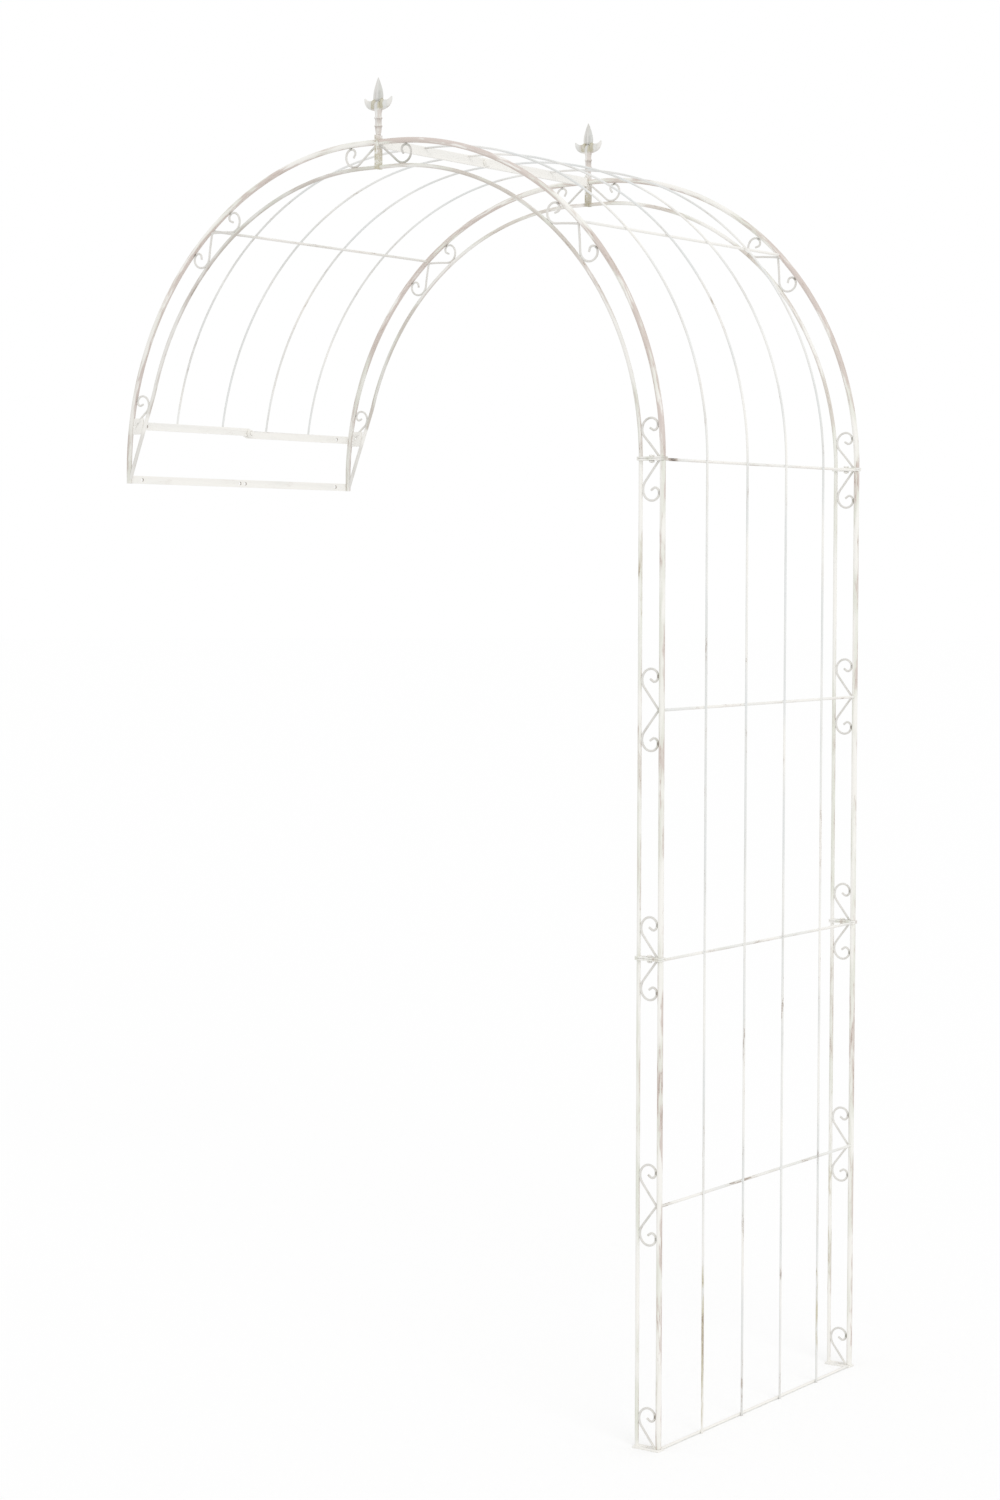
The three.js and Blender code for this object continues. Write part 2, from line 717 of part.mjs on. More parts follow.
// Bolts across the crown bars and across the lap of the high wall bar; the head looks to `turn`
function cross_fastener(name, turn, x, y, z, stack) {
  const screw = add_piece(`${name}_bolt`, bolt(bar_bolt, stack), fastener_paint);
  const lock = add_piece(`${name}_nut`, nut(bar_bolt, stack), fastener_paint);
  for (const mesh of [screw, lock]) {
    mesh.rotation.set(0, turn * Math.PI / 2, 0);
    mesh.position.set(x, y, z);
  }
}
const crown_bolt_z = crown + crown_bar_lift - crown_bar_height / 2;
const crown_seat = post_far_face + fit;
cross_fastener('crown', 1, crown_seat, crown_bolt_y, crown_bolt_z, 2 * plate_thickness + fit);
const lap_stack = 2 * wall_bar_thickness + fit;
cross_fastener('wall_lap', -1, back_half_back - fit, lap_bolt_y, lap_z, lap_stack);

export default arch;
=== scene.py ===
"""Wall side garden arch in worn antique white paint.

Laid out as an add-on: sizes and paints are property groups, each kind of piece has an operator,
and a panel in the sidebar lists them. Lengths are metres, +Z up, +X from the wall to the leg,
+Y from the front frame to the back frame.
"""
import math

import bpy
from bpy.props import FloatProperty, FloatVectorProperty, IntProperty, PointerProperty
from mathutils import Matrix, Vector, noise


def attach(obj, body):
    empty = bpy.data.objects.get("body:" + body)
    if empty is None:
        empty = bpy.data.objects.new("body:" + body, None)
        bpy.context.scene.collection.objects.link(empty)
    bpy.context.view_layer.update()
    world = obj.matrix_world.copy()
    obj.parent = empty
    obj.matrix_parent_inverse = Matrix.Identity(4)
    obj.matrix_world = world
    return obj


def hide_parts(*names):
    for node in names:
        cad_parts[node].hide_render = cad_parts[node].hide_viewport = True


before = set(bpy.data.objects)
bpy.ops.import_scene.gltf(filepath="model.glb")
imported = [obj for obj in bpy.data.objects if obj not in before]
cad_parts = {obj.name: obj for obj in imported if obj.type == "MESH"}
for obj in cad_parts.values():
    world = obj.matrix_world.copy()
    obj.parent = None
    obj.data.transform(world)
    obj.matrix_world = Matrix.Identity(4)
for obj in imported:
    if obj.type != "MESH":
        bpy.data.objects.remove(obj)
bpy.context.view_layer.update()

bl_info = {
    "name": "Wall Side Garden Arch",
    "version": (1, 0, 0),
    "blender": (4, 5, 0),
    "location": "3D View > Sidebar > Arch",
    "description": "Builds a scrolled rose arch against a wall, with its worn paint and a studio",
    "category": "Add Mesh",
}

MM = 0.001
TOUCH = 0.01 * MM  # Places closer than this are one place
RING_STEP = 12 * MM  # Between two rings of a bar
DRILL_LENGTH, LONG_DRILL = 12 * MM, 30 * MM
BURNT_REACH = 2.6 * MM  # Of the dark spot round a weld
TUBE_SIDES, RAIL_SIDES, CROSS_SIDES, WIRE_SIDES = 28, 20, 16, 12
LEAF_SIDES, SHANK_SIDES = 16, 20
CURL_STEPS, CROSS_CUTS = 40, 60  # Steps of a curl, rings along a crossbar
ROUND_SMOOTH, FLAT_SMOOTH = 60.0, 50.0  # Degrees up to which an edge is shaded smooth
WELD_UNEVENNESS, WELD_LUMPS = 0.35, 420.0  # Share of the radius, and lumps for each metre
JOINT_BOLT = {
    "radius": 2.5 * MM, "flats": 8 * MM, "head": 2.5 * MM, "flange_radius": 4.4 * MM,
    "flange": 0.6 * MM, "nut": 3.2 * MM, "tail": 1 * MM,
}
BAR_BOLT = {
    "radius": 4 * MM, "flats": 13 * MM, "head": 5 * MM, "flange_radius": 8.5 * MM,
    "flange": 1.6 * MM, "nut": 6.5 * MM, "tail": 2 * MM,
}


# Properties
def prop(kind, name, default, description, **settings):
    return kind(name=name, description=description, default=default, **settings)


def length(name, millimetres, description):
    settings = {"min": 0.0, "unit": "LENGTH", "precision": 4}
    return prop(FloatProperty, name, millimetres * MM, description, **settings)


def turn(name, degrees, description):
    return prop(FloatProperty, name, math.radians(degrees), description, subtype="ANGLE")


def count(name, number, description):
    return prop(IntProperty, name, number, description, min=1)


def share(name, number, description):
    return prop(FloatProperty, name, number, description, min=0.0, max=1.0, subtype="FACTOR")


def tint(name, hexadecimal, description):
    """Colour property from an sRGB hexadecimal, kept as linear light."""
    values = [int(hexadecimal[i:i + 2], 16) / 255 for i in (0, 2, 4)]
    linear = [v / 12.92 if v <= 0.04045 else ((v + 0.055) / 1.055) ** 2.4 for v in values]
    settings = {"size": 3, "min": 0.0, "max": 1.0, "subtype": "COLOR"}
    return prop(FloatVectorProperty, name, linear, description, **settings)


class ArchSizes(bpy.types.PropertyGroup):
    """Sizes of the arch"""

    hoop_half: length("Half width", 600, "From the middle of the arch to that of the outer tube")
    depth: length("Depth", 668, "Between the middles of the front and back frames")
    bay: length("Bay", 421, "Height between two crossbars of the leg")
    bays: count("Bays", 4, "Number of bays from the ground to the springing")
    bend_radius: length("Bend radius", 570.5, "Radius of the outer tube's bend")
    rail_gap: length("Rail gap", 43.8, "Between the middles of the outer tube and the inner rail")
    tube_radius: length("Tube radius", 5, "Outer radius of the outer tube")
    tube_wall: length("Tube wall", 1, "Wall of the outer tube")
    rail_radius: length("Rail radius", 3.5, "Radius of the inner rail")
    rod_radius: length("Rod radius", 2, "Radius of the climbing rods")
    cross_radius: length("Crossbar radius", 2.5, "Radius of the crossbars")
    wire_radius: length("Scroll wire radius", 2, "Radius of the scroll wire")
    rods_across: count("Rods across", 4, "Climbing rods between the two frames")
    fit: length("Fit", 0.3, "Gap between neighbours")
    weld_bite: length("Weld bite", 0.8, "How deep a scroll sits in the rail")
    plate_thickness: length("Plate thickness", 3, "Thickness of the joint plates")
    plate_width: length("Plate width", 15.5, "Width of the joint plates")
    foot_thickness: length("Foot thickness", 3.5, "Thickness of the foot plates")
    foot_width: length("Foot width", 18, "Width of the foot plates")
    foot_hole_radius: length("Foot hole radius", 4, "Radius of the anchor hole in a foot plate")
    post_rise: length("Post rise", 7.5, "How far a crown post stands above the outer tube")
    leg_side_angle: turn("Leg side crossbar", 45, "Angle of the leg side crossbar on the bend")
    wall_side_angle: turn("Wall side crossbar", 50.4, "Angle of the wall side crossbar on the bend")
    crown_bar_height: length("Crown bar height", 17, "Height of the flat crown bars")
    crown_bar_lift: length("Crown bar lift", 7.5, "Top of the crown bars above the tube middle")
    crown_bolt_y: length("Crown bolt offset", 11, "Crown bolt from the middle, towards the front")
    wall_bar_width: length("Wall bar width", 15, "Height of the flat wall bars")
    wall_bar_thickness: length("Wall bar thickness", 3, "Thickness of the flat wall bars")
    low_bar_drop: length("Low bar drop", 15.5, "Middle of the low wall bar below the springing")
    low_hole_inset: length("Low hole inset", 39, "End holes of the low wall bar from the frames")
    low_pair_spacing: length("Middle hole spacing", 16, "Between the two middle holes")
    high_bar_rise: length("High bar rise", 84.2, "Lap of the high wall bar above the springing")
    high_hole_inset: length("High hole inset", 42, "End holes of the high wall bar from the frames")
    lap_step: length("Lap step", 4.5, "Height between the halves of the high wall bar")
    lap_bolt_y: length("Lap bolt offset", 8, "Lap bolt from the middle, towards the back")
    wall_hole_radius: length("Wall hole radius", 3.5, "Radius of the screw holes in the wall bars")
    rail_join_drop: length("Rail join drop", 15, "End of the wall side rail below the springing")
    rail_join_inset: length("Rail join inset", 2.5, "Inset of the wall side rail where it ends")
    rail_leave_run: length("Rail leave run", 160, "Where the wall side rail leaves its parallel")
    lug_low_rise: length("Lug rise", 69, "Bottom of the wall lug above the springing")
    lug_height: length("Lug height", 30, "Height of the wall lug")
    lug_thickness: length("Lug thickness", 3, "Thickness of the wall lug")
    lug_reach: length("Lug reach", 24, "Width of the wall lug")
    lug_hole_radius: length("Lug hole radius", 2.8, "Radius of the hole in the wall lug")
    lug_hole_drop: length("Lug hole drop", 10, "Lug hole below the top of the lug")
    wall_scroll_rise: length("Wall scroll rise", 83, "Root of the lowest scroll over the springing")
    crown_scroll_gap: length("Crown scroll gap", 2, "From a crown post to the root of its scroll")
    arm_lead: length("Scroll arm lead", 1.5, "Along the hoop from the root to the foot of the arm")
    curl_tail: length("Scroll tail", 6, "Straight tip of the curl")
    arm_angle: turn("Scroll arm angle", 52, "Slope of the straight arm of a scroll")
    curl_end_angle: turn("Scroll end angle", 400, "Where the curl of a scroll ends")
    curl_tighten: share("Scroll tightening", 0.2, "How much the curl tightens for each radian")


class ArchPaints(bpy.types.PropertyGroup):
    """Colours of the worn paint"""

    cream: tint("Cream", "f6f4ef", "The fresh paint")
    grey: tint("Grey cream", "e4e6e6", "Where the paint has gone grey")
    olive: tint("Olive cream", "e3e4d9", "Where the paint has a greenish tinge")
    rose: tint("Rose brown", "d2c4bd", "Where the brown undercoat shows through")
    moss: tint("Mossy stain", "cdc7af", "Greenish brown stain on posts, petals and low rods")
    rust: tint("Rust", "8c705c", "Rubbed through edges and scratches")
    # The dark brown also serves as painted shade under the finial's beads, in its hollows and on
    # the scroll wires
    soot: tint("Dark brown", "4d453b", "Bare dark steel and stained corners")
    zinc: tint("Bare steel", "b9b6ae", "Rubbed heads of bolts and nuts")
    floor: tint("Floor", "f5f5f5", "Studio floor")
    floor_glow: share("Floor glow", 0.12, "Light of the floor where the camera sees it")


# Places along the arch
class HoopLine:
    """Run of the outer tube: s is measured from the ground, inset towards the inside."""

    def __init__(self, sizes):
        self.half = sizes.hoop_half
        self.radius = sizes.bend_radius
        self.springing = sizes.bay * sizes.bays
        self.bend_end = self.springing + self.radius * math.pi / 2
        self.bend_centre = self.half - self.radius
        self.crown_middle = self.bend_end + self.bend_centre
        self.crown = self.springing + self.radius
        self.joint = self.springing / 2
        self.frame_y = sizes.depth / 2
        # Ends of the tubes and rods beside the crown posts, and the crossbars of the roof
        self.stop = self.crown_middle - sizes.plate_thickness - sizes.fit * 1.5
        self.leg_cross = self.springing + sizes.leg_side_angle * self.radius
        self.wall_cross = self.springing + sizes.wall_side_angle * self.radius

    def place(self, s, inset=0.0):
        """x and z of a point, on the leg side."""
        if s < self.springing:
            return self.half - inset, s
        if s < self.bend_end:
            angle = (s - self.springing) / self.radius
            reach = self.radius - inset
            x = self.bend_centre + reach * math.cos(angle)
            return x, self.springing + reach * math.sin(angle)
        return self.bend_centre - (s - self.bend_end), self.crown - inset

    def run_of(self, x, z):
        """s and inset of a point, the reverse of place()."""
        x = abs(x)
        if z < self.springing:
            return z, self.half - x
        if x > self.bend_centre:
            angle = math.atan2(z - self.springing, x - self.bend_centre)
            reach = math.hypot(z - self.springing, x - self.bend_centre)
            return self.springing + self.radius * angle, self.radius - reach
        return self.bend_end + self.bend_centre - x, self.crown - z

    def rise_to_run(self, rise, outset=0.0):
        """s of the place on the bend that lies this high above the springing."""
        return self.springing + self.radius * math.asin(rise / (self.radius + outset))


def arch_sizes():
    sizes = bpy.context.scene.arch_sizes
    return sizes, HoopLine(sizes)


# Modelling by hand
def edit_all():
    """Opens the active piece in edit mode with everything selected."""
    bpy.ops.object.mode_set(mode="EDIT")
    bpy.ops.mesh.select_all(action="SELECT")


def start(sides, radius, place, lean=0.0, fill="NGON"):
    """New ring at a place, its face turned from straight up towards +X, open in edit mode."""
    bpy.ops.object.select_all(action="DESELECT")
    bpy.ops.mesh.primitive_circle_add(
        vertices=sides, radius=radius, fill_type=fill, location=place, rotation=(0.0, lean, 0.0)
    )
    edit_all()


def push(step):
    bpy.ops.mesh.extrude_region_move(TRANSFORM_OT_translate={"value": step})


def tilt(angle, centre):
    """Turns the selection about Y; without a window the operator turns the other way round."""
    bpy.ops.transform.rotate(value=-angle, orient_axis="Y", center_override=centre)


def swell(factors, centre):
    bpy.ops.transform.resize(value=factors, center_override=centre)


def choose_edges(test):
    """Selects only the edges whose two ends pass the test, in edit mode."""
    bpy.ops.object.mode_set(mode="EDIT")
    bpy.ops.mesh.select_all(action="DESELECT")
    bpy.ops.mesh.select_mode(type="EDGE")
    bpy.ops.object.mode_set(mode="OBJECT")
    body = bpy.context.object
    for edge in body.data.edges:
        edge.select = test(*(body.matrix_world @ body.data.vertices[i].co for i in edge.vertices))
    bpy.ops.object.mode_set(mode="EDIT")


def tidy_shell():
    bpy.ops.mesh.select_all(action="SELECT")
    bpy.ops.mesh.remove_doubles(threshold=TOUCH)
    bpy.ops.mesh.normals_make_consistent(inside=False)


def use_modifier(kind, **settings):
    """Leaves edit mode, and adds and applies a modifier on the active piece."""
    bpy.ops.object.mode_set(mode="OBJECT")
    bpy.ops.object.modifier_add(type=kind)
    modifier = bpy.context.object.modifiers[-1]
    for key, value in settings.items():
        setattr(modifier, key, value)
    bpy.ops.object.modifier_apply(modifier=modifier.name)


def rename(piece, name):
    piece.name = name
    piece.data.name = name
    return piece


def close_piece(name, smooth=35.0):
    """Leaves edit mode, puts the place into the mesh and names the piece."""
    bpy.ops.object.mode_set(mode="OBJECT")
    bpy.ops.object.transform_apply(location=True, rotation=True, scale=True)
    bpy.ops.object.shade_smooth_by_angle(angle=math.radians(smooth))
    return rename(bpy.context.object, name)


def copy_piece(piece, name, matrix):
    """Copy with its own mesh, moved by a matrix; a mirrored one is turned right side out again."""
    twin = piece.copy()
    twin.data = piece.data.copy()
    twin.data.transform(matrix)
    if matrix.determinant() < 0:
        twin.data.flip_normals()
    bpy.context.scene.collection.objects.link(twin)
    return rename(twin, name)


def pick(pieces):
    """Selects only these pieces; the first is the active one."""
    bpy.ops.object.select_all(action="DESELECT")
    for piece in pieces:
        piece.select_set(True)
    bpy.context.view_layer.objects.active = pieces[0]


def join(name, pieces):
    pick(pieces)
    bpy.ops.object.join()
    return rename(pieces[0], name)


def cut(body, tools):
    """Cuts the tools out of the body and removes them."""
    for tool in tools:
        pick([body])
        use_modifier("BOOLEAN", operation="DIFFERENCE", object=tool, solver="EXACT")
        bpy.data.objects.remove(tool)
    return body


def drill(place, radius, axis, length=DRILL_LENGTH):
    """Round cutter for a hole, with its axis along X, Y or Z."""
    quarter = math.pi / 2
    bpy.ops.object.select_all(action="DESELECT")
    bpy.ops.mesh.primitive_cylinder_add(
        vertices=TUBE_SIDES,
        radius=radius,
        depth=length,
        location=place,
        rotation={"X": (0, quarter, 0), "Y": (quarter, 0, 0), "Z": (0, 0, 0)}[axis],
    )
    return close_piece("drill")


def carry(points, radius, sides, girths=None, y=0.0):
    """Ring carried along points of a frame's plane, turned at each one and swollen to its girth."""
    leans = []
    for i in range(len(points)):
        a = points[max(i - 1, 0)]
        b = points[min(i + 1, len(points) - 1)]
        lean = math.atan2(b[0] - a[0], b[1] - a[1])
        while leans and lean - leans[-1] > math.pi:
            lean -= 2 * math.pi
        while leans and lean - leans[-1] < -math.pi:
            lean += 2 * math.pi
        leans.append(lean)
    places = [Vector((x, y, z)) for x, z in points]
    start(sides, radius, places[0], leans[0])
    if girths:
        tilt(-leans[0], places[0])
        swell((*girths[0], 1.0), places[0])
        tilt(leans[0], places[0])
    for i in range(1, len(points)):
        push(places[i] - places[i - 1])
        if girths:
            (wide, thick), (next_wide, next_thick) = girths[i - 1:i + 1]
            tilt(-leans[i - 1], places[i])
            swell((next_wide / wide, next_thick / thick, 1.0), places[i])
            tilt(leans[i], places[i])
        else:
            tilt(leans[i] - leans[i - 1], places[i])
    tidy_shell()


def rings_between(low, high):
    """Number of equal steps, about RING_STEP long, between two places."""
    return max(1, round((high - low) / RING_STEP))


def run_tube(line, low, high, inset, side, y, radius, sides, fill="NGON"):
    """Round bar along the hoop line: up the leg, spun round the bend and out to the crown."""
    x, z = line.place(low, inset)
    lean = -side * min(max(low - line.springing, 0.0) / line.radius, math.pi / 2)
    start(sides, radius, (side * x, y, z), lean, fill)
    s = low
    if s < line.springing:
        end = min(high, line.springing)
        steps = rings_between(s, end)
        for _ in range(steps):
            push((0.0, 0.0, (end - s) / steps))
        s = end
    if s < high and s < line.bend_end:
        end = min(high, line.bend_end)
        bpy.ops.mesh.spin(
            steps=rings_between(s, end),
            angle=side * ((end - s) / line.radius),
            center=(side * line.bend_centre, y, line.springing),
            axis=(0.0, 1.0, 0.0),
        )
        s = end
    if s < high:
        push((-side * (high - s), 0.0, 0.0))
    tidy_shell()


def block(low, high, bevel):
    """Flat stock between two corners: a cube brought to size, its edges broken, in object mode."""
    low, high = Vector(low), Vector(high)
    middle = (low + high) / 2
    bpy.ops.object.select_all(action="DESELECT")
    bpy.ops.mesh.primitive_cube_add(size=1.0, location=middle)
    edit_all()
    swell(tuple(high - low), middle)
    if bevel:
        bpy.ops.mesh.bevel(offset=bevel, segments=2, affect="EDGES")
    return close_piece("block", FLAT_SMOOTH)


def weld(place, radius, stretch):
    """Small lump of weld: a ball pressed flat and made uneven."""
    place = Vector(place)
    bpy.ops.object.select_all(action="DESELECT")
    bpy.ops.mesh.primitive_ico_sphere_add(subdivisions=2, radius=radius, location=place)
    edit_all()
    swell(stretch, place)
    lump = close_piece("weld", ROUND_SMOOTH)
    for vertex in lump.data.vertices:
        uneven = 1.0 + WELD_UNEVENNESS * noise.noise(vertex.co * WELD_LUMPS)
        vertex.co = place + (vertex.co - place) * uneven
    return lump


# Marks on the paint: rubbed through, pinkish undercoat (below 0: fresh paint), mossy stain, and
# dirt together with painted shade
MARKS = ("rub", "blush", "moss", "soil")

# Marked places of a piece as (mark, from, to, strength), measured along its run in metres
MARKED = {
    "leg_cross_rod_4": [
        ("rub", -0.325, -0.285, 1.3), ("rub", -0.06, -0.02, 0.4), ("blush", -0.6, 0.6, -0.6),
    ],
    "leg_cross_rod_3": [("rub", -0.255, -0.205, 0.6), ("blush", -0.6, 0.6, -0.8)],
    "leg_cross_rod_1": [
        ("rub", -0.322, -0.3, 0.7), ("rub", -0.11, 0.0, 0.3), ("rub", 0.14, 0.2, 0.3),
    ],
    "foot_cross_rod": [("blush", -0.6, 0.6, -2.5)],
    "leg_cross_rod_2": [("blush", -0.6, 0.6, -0.6)],
    "leg_side_roof_cross_rod": [("blush", -0.6, 0.6, -2.5)],
    "leg_side_crown_flat": [("blush", -0.6, 0.6, -2.5)],
    "wall_side_crown_flat": [("blush", -0.6, 0.6, -2.5)],
    "low_wall_flat": [("blush", -0.6, 0.6, -2.0)],
    "back_high_wall_flat": [("blush", -0.6, 0.6, -1.8)],
    "front_high_wall_flat": [("blush", -0.6, 0.6, -1.8)],
    "front_leg_side_roof_hoop": [("blush", 2.05, 2.9, 2.2), ("blush", 1.69, 1.8, 2.0)],
    "front_wall_side_roof_hoop": [("blush", 1.76, 1.93, 1.4), ("soil", 1.5, 2.0, 0.6)],
    "back_leg_side_roof_hoop": [("blush", 1.82, 2.2, 1.8)],
    "back_wall_side_roof_hoop": [("blush", 2.27, 2.42, 1.2), ("soil", 1.5, 2.0, 0.6)],
    "front_wall_side_roof_rail_and_scrolls": [("soil", 1.2, 3.1, 0.8)],
    "back_wall_side_roof_rail_and_scrolls": [("soil", 1.5, 2.3, 0.7)],
    "front_leg_side_roof_rail_and_scrolls": [("soil", 1.4, 3.0, 0.4)],
    "front_upper_leg_rail_and_scrolls": [("moss", 1.35, 1.6, 0.5), ("rub", 1.42, 1.52, 0.35)],
    "front_lower_leg_hoop": [("rub", 0.2, 0.28, 0.3), ("rub", 0.55, 0.74, 0.35)],
    "lower_leg_climbing_rod_1": [("moss", 0.0, 0.36, 1.2), ("rub", 0.04, 0.3, 0.7)],
    "lower_leg_climbing_rod_2": [("rub", 0.3, 0.39, 0.5), ("rub", 0.62, 0.72, 0.5)],
    "lower_leg_climbing_rod_3": [("rub", 0.21, 0.25, 0.5), ("rub", 0.64, 0.82, 0.5)],
    "lower_leg_climbing_rod_4": [
        ("moss", 0.03, 0.24, 0.9), ("rub", 0.36, 0.53, 0.5), ("rub", 0.7, 0.84, 0.5),
    ],
    "back_lower_leg_rail_and_scrolls": [("moss", 0.1, 0.56, 0.5)],
    "back_lower_leg_hoop": [("rub", 0.6, 0.7, 0.35)],
}
SHADED_SIDE = Vector((0.6, 0.45, -0.65))  # Painted shade: the side of the pieces facing down and to the right of the view is painted tan and darker
WALL_SIDE_SHIFT = 3.0  # Keeps the wear of the wall side apart from that of the leg side
GRAIN_SLANT = 0.37  # Keeps the wear of bars at different heights apart
ROOF_BLUSH, ROOF_BLUSH_RISE = 0.75, 0.25  # Undercoat on the roof, and the height it takes to set in
HOLE_RUB = 1.5  # Bare steel inside a drilled hole


def lay_grain(piece, lengthwise, seed, wear, stain):
    """Gives a piece its grain, the direction its wear runs in, its marks and its painted shade on
    the side facing down and right.
    """
    _, line = arch_sizes()
    mesh = piece.data
    grain, shaded_side = [], []
    marks = {mark: [] for mark in MARKS}
    for vertex in mesh.vertices:
        x, y, z = vertex.co
        run, inset = line.run_of(x, z)
        if lengthwise == "run":
            s = run
            grain.extend((s + (WALL_SIDE_SHIFT if x < 0 else 0.0) + seed, inset, y))
        elif lengthwise == "across":
            s = y
            grain.extend((s + seed, x + GRAIN_SLANT * z, z))
        else:
            s = z
            grain.extend((s + seed, x, y))
        levels = dict.fromkeys(MARKS, 0.0)
        above = min(max((z - line.springing) / ROOF_BLUSH_RISE, 0.0), 1.0)
        levels["blush"] = ROOF_BLUSH * above
        own = wear(vertex.co) if wear else {}
        levels.update(own)
        for mark, low, high, amount in MARKED.get(piece.name, ()):
            if mark in own:
                continue
            away = abs(s - (low + high) / 2) / ((high - low) / 2)
            here = amount * max(0.0, 1.0 - away) ** 0.5
            levels[mark] = max(levels[mark], here) if amount > 0 else min(levels[mark], here)
        for mark in MARKS:
            marks[mark].append(levels[mark])
        # Painted shade: how far each point faces down and to the right, the side that is painted
        # tan and darker
        shaded_side.append(max(0.0, vertex.normal.dot(SHADED_SIDE)))
    mesh.attributes.new("grain", "FLOAT_VECTOR", "POINT").data.foreach_set("vector", grain)
    mesh.attributes.new("shaded_side", "FLOAT", "POINT").data.foreach_set("value", shaded_side)
    stained = [stain is not None and stain(face) for face in mesh.polygons]
    for mark in MARKS:
        numbers = []
        for face, bare in zip(mesh.polygons, stained):
            level = marks[mark]
            numbers.extend(HOLE_RUB if bare and mark == "rub" else level[i] for i in face.vertices)
        mesh.attributes.new(mark, "FLOAT", "CORNER").data.foreach_set("value", numbers)


def show(piece, finish, nodes, lengthwise="run", seed=0.0, wear=None, stain=None):
    """Dresses a finished piece: wear, paint, slot, the CAD nodes it stands for, and its body."""
    lay_grain(piece, lengthwise, seed, wear, stain)
    piece.data.materials.clear()
    piece.data.materials.append(paint_for(finish))
    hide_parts(*nodes)
    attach(piece, "root")


def show_pair(piece, finish, name, node, back_seed, **dress):
    """Dresses a piece of the front frame and its copy in the back frame."""
    sizes, _ = arch_sizes()
    rename(piece, f"front_{name}")
    twin = copy_piece(piece, f"back_{name}", Matrix.Translation((0, sizes.depth, 0)))
    show(piece, finish, [f"front_{node}"], **dress)
    show(twin, finish, [f"back_{node}"], seed=back_seed, **dress)


# Shader maths
class Value:
    """A shader socket that takes part in Python expressions."""

    def __init__(self, shade, socket):
        self.shade = shade
        self.socket = socket

    def maths(self, operation, other):
        return self.shade.node("ShaderNodeMath", {"operation": operation}, {0: self, 1: other})

    def __add__(self, other):
        return self.maths("ADD", other)

    def __sub__(self, other):
        return self.maths("SUBTRACT", other)

    def __rsub__(self, other):
        return self.maths("MULTIPLY", -1.0).maths("ADD", other)

    def __mul__(self, other):
        return self.maths("MULTIPLY", other)

    def most(self, other):
        return self.maths("MAXIMUM", other)

    def least(self, other):
        return self.maths("MINIMUM", other)

    def step(self, low, high):
        """0 below low, 1 above high and smooth between."""
        settings = {"interpolation_type": "SMOOTHSTEP"}
        values = {"Value": self, "From Min": low, "From Max": high}
        return self.shade.node("ShaderNodeMapRange", settings, values)


class Shade:
    """The nodes of one material, or of the world."""

    def __init__(self, owner):
        self.owner = owner
        owner.use_nodes = True
        self.tree = owner.node_tree
        self.tree.nodes.clear()

    def node(self, kind, settings, values, output=0):
        """Makes any node: its settings first, then numbers or links for its sockets."""
        node = self.tree.nodes.new(kind)
        for key, value in settings.items():
            setattr(node, key, value)
        for key, value in values.items():
            if isinstance(value, Value):
                self.tree.links.new(value.socket, node.inputs[key])
            else:
                node.inputs[key].default_value = value
        return Value(self, node.outputs[output]) if node.outputs else None

    def attribute(self, name, output):
        return self.node("ShaderNodeAttribute", {"attribute_name": name}, {}, output)

    def noise(self, place, scale, shift, detail, roughness=0.5):
        """Noise with its own scale along the grain and in the two directions across it."""
        spread = {0: place, 1: scale, 2: shift}
        vector = self.node("ShaderNodeVectorMath", {"operation": "MULTIPLY_ADD"}, spread)
        values = {"Vector": vector, "Scale": 1.0, "Detail": detail, "Roughness": roughness}
        return self.node("ShaderNodeTexNoise", {}, values)

    def blend(self, factor, first, second):
        """Mix of two colours, each a socket or an RGB triple; 6 and 7 are the colour sockets."""
        first, second = (c if isinstance(c, Value) else (*c, 1.0) for c in (first, second))
        values = {0: factor, 6: first, 7: second}
        return self.node("ShaderNodeMix", {"data_type": "RGBA"}, values, 2)

    def surface(self, values):
        shader = self.node("ShaderNodeBsdfPrincipled", {}, values)
        self.node("ShaderNodeOutputMaterial", {}, {"Surface": shader})
        return self.owner


# Strength of each kind of wear on each finish, its roughness and the depth of its bumps
WEAR = ("grey", "olive", "rose", "rust", "dark", "rough", "bump")
FINISHES = {
    "hoop_paint": (0.0, 0.9, 0.85, 0.4, 0.35, 0.5, 0.35),
    "rail_paint": (0.2, 0.95, 0.55, 0.45, 0.4, 0.5, 0.35),
    "rod_paint": (1.0, 0.2, 0.15, 0.5, 0.45, 0.5, 0.35),
    "crossbar_paint": (0.7, 0.4, 0.2, 0.6, 0.8, 0.5, 0.35),
    "flat_paint": (0.3, 0.3, 0.12, 0.35, 0.3, 0.45, 0.12),
    "finial_paint": (0.7, 0.5, 0.6, 0.5, 0.6, 0.6, 0.35),
    "fastener_paint": (0.0, 0.1, 0.0, 0.1, 0.05, 0.45, 0.35),
}
GREEN_STRENGTH = 0.9
# Strength of the soot from the soil mark: real dirt, and painted shade on the finials and the
# scroll wires
DIRT_AND_SHADE_STRENGTH = 0.22
BARE_HEAD_STRENGTH = 0.12
BUMP_DISTANCE = 0.25 * MM


